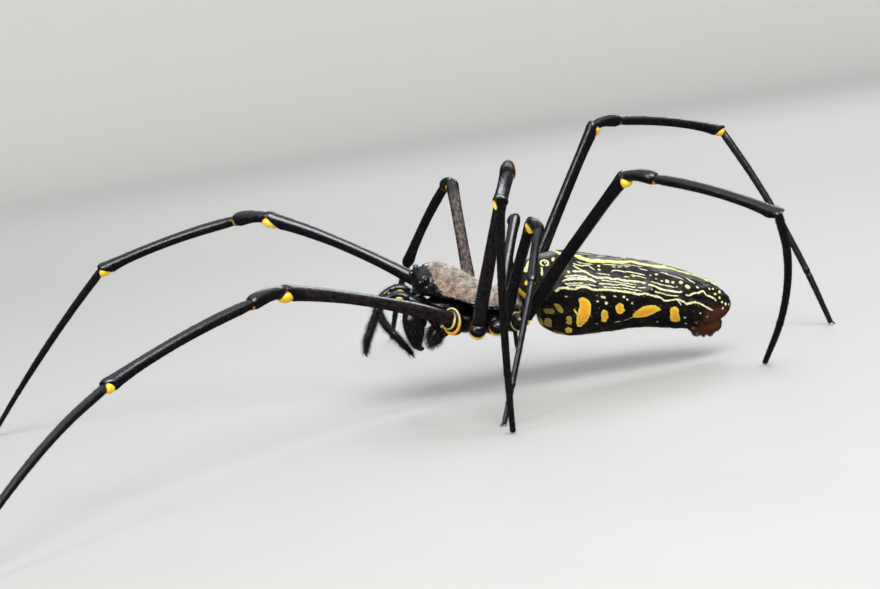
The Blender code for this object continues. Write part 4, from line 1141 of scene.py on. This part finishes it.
legs = {
    # femur, patella, tibia, and metatarsus with tarsus
    "lengths": {1: (26.0, 5.3, 20.5, 33.0), 2: (22.0, 5.1, 17.2, 28.3), 3: (13.5, 3.2, 8.0, 17.6),
                4: (25.4, 4.3, 16.5, 30.0)},
    # thickness of the femur at its root, middle and end, the patella, tibia, metatarsus and tarsus
    "widths": {1: (1.8, 1.5, 1.85, 1.85, 1.45, 1.12, 0.72), 2: (1.75, 1.55, 1.7, 1.8, 1.4, 1.08, 0.76),
               3: (1.6, 1.4, 1.5, 1.5, 1.15, 0.85, 0.65), 4: (1.8, 1.5, 1.6, 1.65, 1.3, 1.05, 0.78)},
    "hips": {1: (-10.4, 5.6, -0.95), 2: (-6.9, 6.6, -2.1), 3: (-3.6, 6.3, -2.1), 4: (-0.9, 5.4, -1.5)},
    "hipRises": {"left_1": -0.6, "right_1": 0.5},     # lower or higher than its pair's, as the leg is turned
    "coxaRoots": {1: (-9.3, 3.0, -2.5), 2: (-7.3, 3.0, -2.6), 3: (-5.2, 3.0, -2.6), 4: (-3.2, 2.7, -2.5)},
    # (turn, rise) of the femur, patella and tibia, then the metatarsus's turn: 0 is straight out, 90 forward
    "poses": {"left_1": ((49.5, 18.4), (42.5, -3.8), (52.7, -14.5), 28.0),
              "right_1": ((84.9, 32.7), (56.8, 0.8), (76.2, -11.6), 61.8),
              "left_2": ((-35.4, 60.8), (4.5, -8.1), (6.9, -5.4), 165.9),
              "right_2": ((0.4, 46.0), (10.8, -5.0), (32.9, -40.3), 11.1),
              "left_3": ((-57.8, 64.1), (-12.0, -12.7), (20.6, -42.4), 45.8),
              "right_3": ((-31.8, 54.4), (5.8, -15.1), (16.4, -55.9), 0.4),
              "left_4": ((-43.4, 40.7), (-52.2, -8.7), (-46.9, -18.0), -179.8),
              "right_4": ((-86.3, 59.2), (-57.1, 0.5), (-63.7, -13.5), -120.0)},
    "footBows": {"left_1": (0.0, 1.6), "right_1": (0.0, 0.7), "left_2": (-0.3, 0.3), "right_2": (0.0, 0.8),
                 "left_3": (0.2, 0.4), "right_3": (0.0, 0.5), "left_4": (1.9, 0.3), "right_4": (0.7, 0.5)},
    # how far the lengths arch upwards in their middle
    "femurArches": {"left_1": 0.6, "right_1": 1.0}, "femurArch": 0.25, "patellaArch": 0.28, "tibiaArch": 0.5,
    "footLift": 0.3, "sides": 36, "step": 0.2, "notch": 0.045,
    # brown bloom on a few lengths, as they are worn
    "bloom": {("right_2", "femur"): 0.42, ("left_1", "femur"): 0.07, ("left_2", "femur"): 0.05},
    "matte": {("left_2", "patella"): 0.5, ("left_2", "foot"): 0.0, ("left_3", "patella"): 0.4},
    "dim": {("left_2", "patella"): 1.0, ("left_3", "patella"): 0.6, ("right_3", "tibia"): 0.7},
    # hairs to a millimetre, their shortest and longest, thickness, and how far they stand up (radians)
    "hairs": {"femur": (38, (0.14, 0.32), 0.024, (0.1, 0.38)), "patella": (36, (0.14, 0.30), 0.024, (0.1, 0.35)),
              "tibia": (40, (0.15, 0.34), 0.024, (0.12, 0.42)), "metatarsus": (50, (0.17, 0.36), 0.024, (0.2, 0.6)),
              "tarsus": (62, (0.18, 0.36), 0.024, (0.2, 0.65))},
    # soft skin at the knees: warmth from cream to orange, fullness, how far femur and patella draw back from it
    "kneePads": {"left_1": (0.5, 0.5, 1.3, 0.85), "right_1": (0.28, 0.55, 2.1, 0.75),
                 "left_2": (0.68, 0.35, 1.7, 1.3), "right_2": (0.42, 0.3, 1.2, 0.8),
                 "left_3": (0.38, 0.3, 1.1, 0.8), "right_3": (0.4, 0.3, 1.0, 0.6),
                 "left_4": (0.42, 0.5, 1.1, 0.95), "right_4": (0.5, 0.4, 1.3, 0.7)},
    # towards where a knee or an ankle also opens, beside its fold
    "foldHints": {"right_1": (0.0, -2.2, -2.0), "right_4": (0.0, -0.6, -1.0), "left_3": (-0.6, -0.9, -1.0),
                  "right_2": (-0.5, -0.8, -1.0), "left_2": (3.5, -0.6, 0.0)},
    "ankleHints": {"left_2": (-3.0, -1.6, 0.4), "right_1": (0.0, -1.6, -1.0), "right_4": (0.0, -2.4, -1.0)},
    # the soft bands of a hip: warmth and half width above, then below, on the trochanter's ring and on the coxa's
    "hipBands": {"left_1": ((0.0, 0.2, 0.1, 0.14), (0.0, 0.24, 0.75, 0.4)),
                 "left_2": ((1.75, 0.1, 1.75, 0.1), (1.75, 0.16, 0.25, 0.6)),
                 "left_3": ((1.75, 0.1, 1.75, 0.1), (1.75, 0.14, 0.2, 0.34)),
                 "left_4": ((1.75, 0.1, 1.75, 0.1), (-0.1, 0.2, 0.0, 0.1))},
    "hipBand": ((1.75, 0.1, 0.4, 0.16), (1.75, 0.16, 0.4, 0.4)),
    # half width and half height of the coxa's end, and how far the hip's forms are moved
    "coxaEnds": {"left_1": (1.1, 1.6)}, "coxaEnd": (0.96, 1.16),
    "hipShifts": {"left_1": (-0.5, 0.0, -0.2), "left_2": (0.0, 0.0, -0.25), "left_3": (-0.7, 0.0, 0.2),
                  "left_4": (-0.5, 0.0, 0.0)},
    # the same at the ankles: warmth, fullness, and how far tibia and metatarsus draw back
    "anklePads": {"left_1": (0.38, 0.4, 0.9, 0.6), "right_1": (0.45, 0.4, 1.5, 0.9), "left_2": (0.22, 0.9, 1.9, 1.5),
                  "right_2": (0.6, 0.4, 1.0, 0.8), "right_4": (0.55, 0.4, 1.2, 0.6)},
    "anklePad": (0.42, 0.4, 0.8, 0.5),
}


def heading(side, turn, rise):
    turn, rise = radians(turn), radians(rise)
    return np.array([-sin(turn) * cos(rise), side * cos(turn) * cos(rise), sin(rise)])


def legJoints(leg, side, pair):
    # hip, knee, end of patella, end of tibia and foot
    back, aside, up = legs["hips"][pair]
    joints = [bodyToFloor((back, side * aside, up + legs["hipRises"].get(leg, 0.0)))]
    *bends, lastTurn = legs["poses"][leg]
    for length, (turn, rise) in zip(legs["lengths"][pair], bends):
        joints.append(joints[-1] + length * heading(side, turn, rise))
    footLength = legs["lengths"][pair][3]
    slope = -np.degrees(np.arcsin(joints[-1][2] / footLength))
    joints.append(joints[-1] + footLength * heading(side, lastTurn, slope))
    return joints


def bowed(start, stop, lift):
    lift = np.array(lift, float)
    middle = (start + stop) / 2 + lift
    return [start, (start + middle) / 2 + lift * 0.25, middle, (stop + middle) / 2 + lift * 0.25, stop]


def mitre(before, joint, after):
    return unit(unit(joint - before) + unit(after - joint))


def innerSide(before, joint, after, hint):
    # the side that a joint folds towards, where its soft skin lies
    return unit(unit(before - joint) + unit(after - joint) + 0.25 * np.asarray(hint, float))


def limbRings(path, run, size, ends):
    # a tube cut to the planes of its joints and drawn back on their inner sides, with a rounded lip at both ends
    along, across, other = carriedFrames(path, (0, 0, 1))
    turn = np.linspace(0, 2 * pi, legs["sides"], endpoint=False)
    local = size[:, None, None] * np.stack([np.cos(turn), np.sin(turn)], -1)[None]
    offset = local[..., :1] * across[:, None] + local[..., 1:] * other[:, None]
    shift = np.zeros(offset.shape[:2])
    ramp = min(4 * size.max(), run[-1])
    for distance, way, sign, end in ((run, along[0], 1, ends[0]), (run[-1] - run, along[-1], -1, ends[1])):
        near = np.clip(1 - distance / ramp, 0, 1)[:, None]
        cut = -(offset @ end["plane"]) / (way @ end["plane"])
        back = np.clip((unit(offset) @ end["inner"] + 0.25) / 1.25, 0, 1) ** 1.2 * end["open"]
        shift = shift + near * (np.clip(cut, -1.1 * size.max(), 1.1 * size.max()) + sign * back)
    rings = path[:, None] + offset + shift[..., None] * along[:, None]
    rims = [(rings[end].copy(), along[end], path[end]) for end in (0, -1)]
    lie = np.concatenate([local, np.broadcast_to(run[:, None, None], local.shape[:2] + (1,))], -1)
    lips = []
    for end, way in ((0, -along[0]), (-1, along[-1])):
        rim, middle = rings[end], rings[end].mean(0)
        rows = [middle + (rim - middle) * share + way * size[end] * out
                for share, out in ((0.985, 0.05), (0.94, 0.09), (0.86, 0.10), (0.6, 0.0), (0.2, -0.1))]
        lips.append((np.stack(rows), np.repeat(lie[end][None], 5, 0)))
    rings = np.concatenate([lips[0][0][::-1], rings, lips[1][0]])
    lie = np.concatenate([lips[0][1][::-1], lie, lips[1][1]])
    return rings, lie, rims


def trimPath(path, run, startGap, stopGap):
    keep = (run > startGap + 1e-6) & (run < run[-1] - stopGap - 1e-6)
    ends = [np.array([np.interp(g, run, path[:, k]) for k in range(3)]) for g in (startGap, run[-1] - stopGap)]
    path = np.vstack([ends[0], path[keep], ends[1]])
    run = np.concatenate([[startGap], run[keep], [run[-1] - stopGap]]) - startGap
    return path, run


def addSleeve(shape, before, after, inner, size, fullness, warmth):
    # the soft skin of a bend, from inside one cut end to inside the next, swelling on the inner side
    (rimA, wayA, middleA), (rimB, wayB, middleB) = before, after
    rimA = middleA + (rimA - middleA) * 0.9
    rimB = middleB + (rimB - middleB) * 0.9
    rows, side = [], []
    for u in np.linspace(0, 1, 19):
        ring = rimA * (1 - u) + rimB * u
        out = unit(ring - (middleA * (1 - u) + middleB * u))
        share = softStep(out @ inner, -0.2, 0.8)
        rows.append(ring + out * (fullness * size * share * sin(pi * u) ** 0.75)[:, None])
        side.append(share * sin(pi * u) ** 0.3)
    first = [middleA - wayA * size * deep + (rimA - middleA) * narrow for deep, narrow in ((0.6, 0.5), (0.3, 0.85))]
    last = [middleB + wayB * size * deep + (rimB - middleB) * narrow for deep, narrow in ((0.3, 0.85), (0.6, 0.5))]
    rings = np.stack(first + rows + last)
    side = np.stack([side[0]] * 2 + side + [side[-1]] * 2)
    addRings(shape, rings, 1, lie=rings, warmth=warmth + 1.5 * (1 - softStep(side, 0.0, 0.55)))


def makeLeg(leg, side, pair):
    joints = legJoints(leg, side, pair)
    hip, knee, shin, ankle, foot = joints
    root, middle, end, patella, tibia, metatarsus, tarsus = (w / 2 for w in legs["widths"][pair])
    back, up = legs["footBows"][leg]
    footEnd = foot + np.array((0, 0, legs["footLift"]))
    inner = [innerSide(hip, knee, shin, legs["foldHints"].get(leg, (0, 0, -1)))]
    inner.append(innerSide(knee, shin, ankle, inner[0] * 2))
    inner.append(innerSide(shin, ankle, foot, legs["ankleHints"].get(leg, inner[0])))
    sizes = (max(end, patella), patella, tibia)
    kneeWarmth, fullness, *kneeOpens = legs["kneePads"][leg]
    ankleWarmth, ankleFullness, *ankleOpens = legs["anklePads"].get(leg, legs["anklePad"])
    pads = ((fullness, kneeWarmth), (0.12, 1.0), (ankleFullness, ankleWarmth))
    opens = ([sizes[0] * share for share in kneeOpens], (0.3 * sizes[1], 0.25 * sizes[1]),
             [sizes[2] * share for share in ankleOpens])
    planes = [mitre(*joints[k - 1:k + 2]) for k in (1, 2, 3)]
    aim, tip = unit(knee - hip), unit(footEnd - ankle)
    below = unit(np.cross(aim, np.cross((0, 0, -1.0), aim)))
    cuts = [{"plane": aim, "inner": below, "open": 0.38 * root}]
    for k in range(3):
        cuts += [{"plane": planes[k], "inner": inner[k], "open": opens[k][0]},
                 {"plane": planes[k], "inner": inner[k], "open": opens[k][1]}]
    cuts.append({"plane": tip, "inner": tip, "open": 0.0})
    femurArch = legs["femurArches"].get(leg, legs["femurArch"])
    runs = {
        "femur": (bowed(hip, knee, (0, 0, femurArch)),
                  (root * 0.92, root, middle * 1.03, middle, end * 0.92, end * 1.04)),
        "patella": (bowed(knee, shin, (0, 0, legs["patellaArch"])),
                    (patella * 0.9, patella * 0.86, patella * 0.93, patella * 1.0, patella * 0.94)),
        "tibia": (bowed(shin, ankle, (0, 0, legs["tibiaArch"])),
                  (tibia * 0.92, tibia * 0.97, tibia * 0.94, tibia * 0.93, tibia * 1.0, tibia * 1.24)),
        "foot": (bowed(ankle, footEnd, (back, 0, up)),
                 (metatarsus * 0.98, metatarsus * 0.9, metatarsus * 0.84, tarsus * 1.04, tarsus * 0.84)),
    }
    shape, hairs = newShape(), newShape()
    draw = np.random.default_rng(200 + 10 * pair + side)
    notch = legs["notch"]
    rims = []
    for number, (name, (points, radii)) in enumerate(runs.items()):
        path, run = evenPath(points, legs["step"])
        path, run = trimPath(path, run, 0.0 if name == "femur" else notch, 0.0 if name == "foot" else notch)
        size = smoothValue(run / run[-1], np.linspace(0, 1, len(radii)), radii)
        if name == "foot":
            gone = run - 0.755 * run[-1]          # the narrow joint before the tarsus
            size = size * (1 + 0.12 * np.exp(-((gone + 0.45) / 0.35) ** 2) - 0.16 * np.exp(-(gone / 0.15) ** 2))
        else:
            left = run[-1] - run
            size = size * (1 - 0.1 * np.exp(-(left / 0.2) ** 2) + 0.04 * np.exp(-((left - 0.55) / 0.4) ** 2))
        if name != "femur":
            size = size * (1 - 0.08 * np.exp(-((run - 0.3) / 0.4) ** 2))
        rings, lie, ends = limbRings(path, run, size, cuts[2 * number:2 * number + 2])
        rims += ends
        bloom = legs["bloom"].get((leg, name), 0.0)
        matte = legs["matte"].get((leg, name), 0.35 if name == "foot" else bloom * 0.6)
        if name == "foot":
            rings[..., 2] = np.maximum(rings[..., 2], 0.01)
            ready = (path[-1], unit(path[-1] - path[-3]), tarsus)
        fade = softStep(run[-1] - run, 1.0, 3.5) if name == "femur" else np.ones(len(run))
        worn = bloom * np.concatenate([fade[:1].repeat(5), fade, fade[-1:].repeat(5)])
        addRings(shape, rings, 0, lie=lie + [0, 0, 40.0 * number], brown=np.repeat(worn[:, None], legs["sides"], 1),
                 matte=matte, dim=legs["dim"].get((leg, name), 0.0))
        share = np.concatenate([np.zeros(5), run / run[-1], np.ones(5)])
        parts = (("metatarsus", 0.0, 0.75), ("tarsus", 0.75, 1.0)) if name == "foot" else ((name, 0.0, 1.0),)
        for kind, low, high in parts:
            weight = np.repeat(((share >= low) & (share <= high))[:, None] + 1e-6, legs["sides"], 1)
            long, thick, lift = legs["hairs"][kind][1:]
            count = int(legs["hairs"][kind][0] * run[-1] * (high - low))
            bristlesOn(hairs, rings, count, long, thick, draw, weight, lift=lift, spreadAngle=0.25)
    for k, (swell, warmth) in enumerate(pads):
        addSleeve(shape, rims[2 * k + 1], rims[2 * k + 2], inner[k], sizes[k], swell, warmth)
    addHip(shape, hairs, leg, side, pair, hip, knee, root, draw)
    makePiece(f"leg_{leg}_skin", shape, [finishes["cuticle"], finishes["membrane"]],
              [f"leg_{leg}_{part}" for part in ("coxa", "femur", "patella", "tibia", "foot")])
    makePiece(f"leg_{leg}_hairs", hairs, [finishes["bristle"]], keepMap=True)
    return ready


def addHip(shape, hairs, leg, side, pair, hip, knee, root, draw):
    # coxa, trochanter and the bands of soft skin round them, cream above and orange underneath
    start = bodyToFloor(mirrored([legs["coxaRoots"][pair]], side)[0])
    aim = unit(knee - hip)
    seat = hip - aim * root * 0.75 + legs["hipShifts"].get(leg, (0, 0, 0))
    outward = unit(seat - start)
    wide, tall = legs["coxaEnds"].get(leg, legs["coxaEnd"])
    path, run = evenPath(np.stack([start, (start + seat) / 2, seat - outward * 0.35]), 0.1)
    rings, lie = sweptRings(path, (0.8, wide * 1.04, wide * 1.08, wide * 1.03), 44, tall=tall / wide,
                            capLength=(0.3, 0.35))
    addRings(shape, rings, 0, lie=lie + [0, 0, 200.0], brown=0.0, matte=0.0)
    bristlesOn(hairs, rings, 220, (0.2, 0.5), 0.028, draw, lift=(0.4, 0.9))
    across = unit(np.cross(aim, (0, 0, 1.0)))
    ball = ballRings(seat, (root * 1.18, root * 1.24, root * 1.12), (across, np.cross(across, aim), aim), 30, 44)
    addRings(shape, ball, 0, lie=ball, brown=0.0, matte=0.0)
    places = ((seat + aim * root * 0.2, aim, root * 1.14, root * 1.2), (seat - outward * 0.5, outward, wide, tall))
    for (middle, axis, wide, tall), (warm, thin, warmBelow, thick) in zip(
            places, legs["hipBands"].get(leg, legs["hipBand"])):
        turn = np.linspace(0, 2 * pi, 49)
        level = unit(np.cross(axis, (0, 0, 1.0)))
        down = np.cross(axis, level)
        down = down if down[2] < 0 else -down
        loop = middle + wide * np.cos(turn)[:, None] * level + tall * np.sin(turn)[:, None] * down
        below = softStep(np.sin(turn), -0.5, 0.9)
        addRing(shape, loop, thin + (thick - thin) * below ** 1.5, 1, flat=0.5,
                warmth=warm + (warmBelow - warm) * below, inBody=False)


def makeClaws(feet):
    # two curved claws and a smaller hook between them on every foot
    shape = newShape()
    for tip, way, tarsus in feet:
        level = unit(way * (1, 1, 0))
        flat = np.cross(level, (0, 0, 1.0))
        for aside, long, size in ((0.13, 0.62, 0.07), (-0.13, 0.62, 0.07), (0.0, 0.4, 0.05)):
            start = tip + flat * aside * 0.7 - way * 0.15
            hook = [start, tip + flat * aside + level * long * 0.55 + (0, 0, 0.02),
                    tip + flat * aside * 1.2 + level * long + (0, 0, -legs["footLift"] + 0.06)]
            path, _ = evenPath(np.stack(hook), 0.04)
            rings, lie = sweptRings(path, (size * 1.3, size, size * 0.25), 10, capLength=(0.2, 0.2))
            rings[..., 2] = np.maximum(rings[..., 2], 0.01)
            addRings(shape, rings, lie=lie)
    makePiece("foot_claws", shape, [finishes["horn"]])


feet = []
for leg in legs["poses"]:
    sideName, pair = leg.split("_")
    feet.append(makeLeg(leg, sideSigns[sideName], int(pair)))
makeClaws(feet)
print("legs made")


# The studio: a pale floor that sweeps up all round, soft lights and the camera

studio = {
    "floorRadius": 900.0, "sweepRadius": 500.0, "wallHeight": 900.0,
    "floorColour": (0.47, 0.45, 0.425), "glow": 0.30,
    "sky": (0.86, 0.93, 1.0), "skyStrength": 0.8, "skyFrom": (0.38, 0.78),     # brighter above these heights
    # place in mm, size across and along, watts, colour
    "lights": {"overhead": ((180, -480, 580), (560, 430), 7.2, (0.95, 0.97, 1.0)),
               "backStrip": ((200, 530, 340), (590, 90), 1.3, (0.88, 0.93, 1.0)),
               "frontStrip": ((-500, -450, 320), (140, 480), 2.2, (0.90, 0.95, 1.0))},
    "aim": (5, 0, 12),
}
photoView = {"place": (7.56, -236.78, 42.73), "elevation": 7.0, "roll": 9.0, "lens": 76.58, "sensor": 36.0}


def makeFloor():
    material, tree, shader = newFinish("paleFloor", studio["floorColour"], Roughness=0.6)
    place = addNode(tree, "ShaderNodeTexCoord").outputs["Object"]
    cloud = noise(tree, place, 60.0, 5.0)
    tree.links.new(blend(tree, cloud, (0.46, 0.44, 0.415), (0.48, 0.46, 0.435)), shader.inputs["Base Color"])
    # the backdrop takes over with a glow of its own where the lamps no longer reach
    far = addNode(tree, "ShaderNodeVectorMath", {0: place}, operation="LENGTH").outputs["Value"]
    shader.inputs["Emission Color"].default_value = (1.0, 0.985, 0.96, 1)
    tree.links.new(spread(tree, far, 0.25, 1.3, 0.0, studio["glow"]), shader.inputs["Emission Strength"])
    radius, sweep, wall = studio["floorRadius"], studio["sweepRadius"], studio["wallHeight"]
    bend = np.linspace(0, pi / 2, 17)
    profile = [(share * radius, 0.0) for share in (0.02, 0.1, 0.3, 0.6)]
    profile += [(radius + sweep * sin(a), sweep * (1 - cos(a))) for a in bend]
    profile.append((radius + sweep, sweep + wall))
    turn = np.linspace(0, 2 * pi, 97)[:-1]
    points = [(r * cos(a) * millimetre, r * sin(a) * millimetre, z * millimetre) for r, z in profile for a in turn]
    count = len(turn)
    faces = [(i * count + j, i * count + (j + 1) % count, (i + 1) * count + (j + 1) % count, (i + 1) * count + j)
             for i in range(len(profile) - 1) for j in range(count)]
    faces = [face[::-1] for face in faces] + [tuple(range(count))]
    mesh = bpy.data.meshes.new("studio_floor")
    mesh.from_pydata(points, [], faces)
    mesh.shade_smooth()
    mesh.materials.append(material)
    floor = bpy.data.objects.new("studio_floor", mesh)
    bpy.context.scene.collection.objects.link(floor)
    floor.visible_glossy = False        # keeps the black legs black underneath


def makeLights():
    world = bpy.data.worlds.new("studio")
    world.use_nodes = True
    tree = world.node_tree
    way = addNode(tree, "ShaderNodeTexCoord").outputs["Generated"]
    height = addNode(tree, "ShaderNodeSeparateXYZ", {"Vector": way}).outputs["Z"]
    glow = tree.nodes["Background"]
    glow.inputs["Color"].default_value = (*studio["sky"], 1)
    tree.links.new(spread(tree, height, *studio["skyFrom"], 0.04, studio["skyStrength"]), glow.inputs["Strength"])
    bpy.context.scene.world = world
    for name, (place, size, watts, colour) in studio["lights"].items():
        lamp = bpy.data.lights.new(name, "AREA")
        lamp.shape = "RECTANGLE"
        lamp.size, lamp.size_y = (s * millimetre for s in size)
        lamp.energy = watts
        lamp.color = colour
        light = bpy.data.objects.new(name, lamp)
        light.location = [c * millimetre for c in place]
        aim = Vector(studio["aim"]) * millimetre - light.location
        light.rotation_euler = aim.to_track_quat("-Z", "Y").to_euler()
        light.visible_camera = False
        bpy.context.scene.collection.objects.link(light)


def makeCamera():
    e, r = radians(photoView["elevation"]), radians(photoView["roll"])
    forward = Vector((0, cos(e), -sin(e)))
    level, rise = Vector((1, 0, 0)), Vector((0, sin(e), cos(e)))
    right = level * cos(r) - rise * sin(r)
    up = level * sin(r) + rise * cos(r)
    lens = bpy.data.cameras.new("photoView")
    lens.lens, lens.sensor_width = photoView["lens"], photoView["sensor"]
    lens.clip_start, lens.clip_end = 0.01, 20.0
    camera = bpy.data.objects.new("photoView", lens)
    turned = Matrix((right, up, -forward)).transposed().to_4x4()
    camera.matrix_world = Matrix.Translation(Vector(photoView["place"]) * millimetre) @ turned
    bpy.context.scene.collection.objects.link(camera)
    bpy.context.scene.camera = camera


makeFloor()
makeLights()
makeCamera()
bpy.context.scene.view_settings.view_transform = "Standard"
print("studio made")
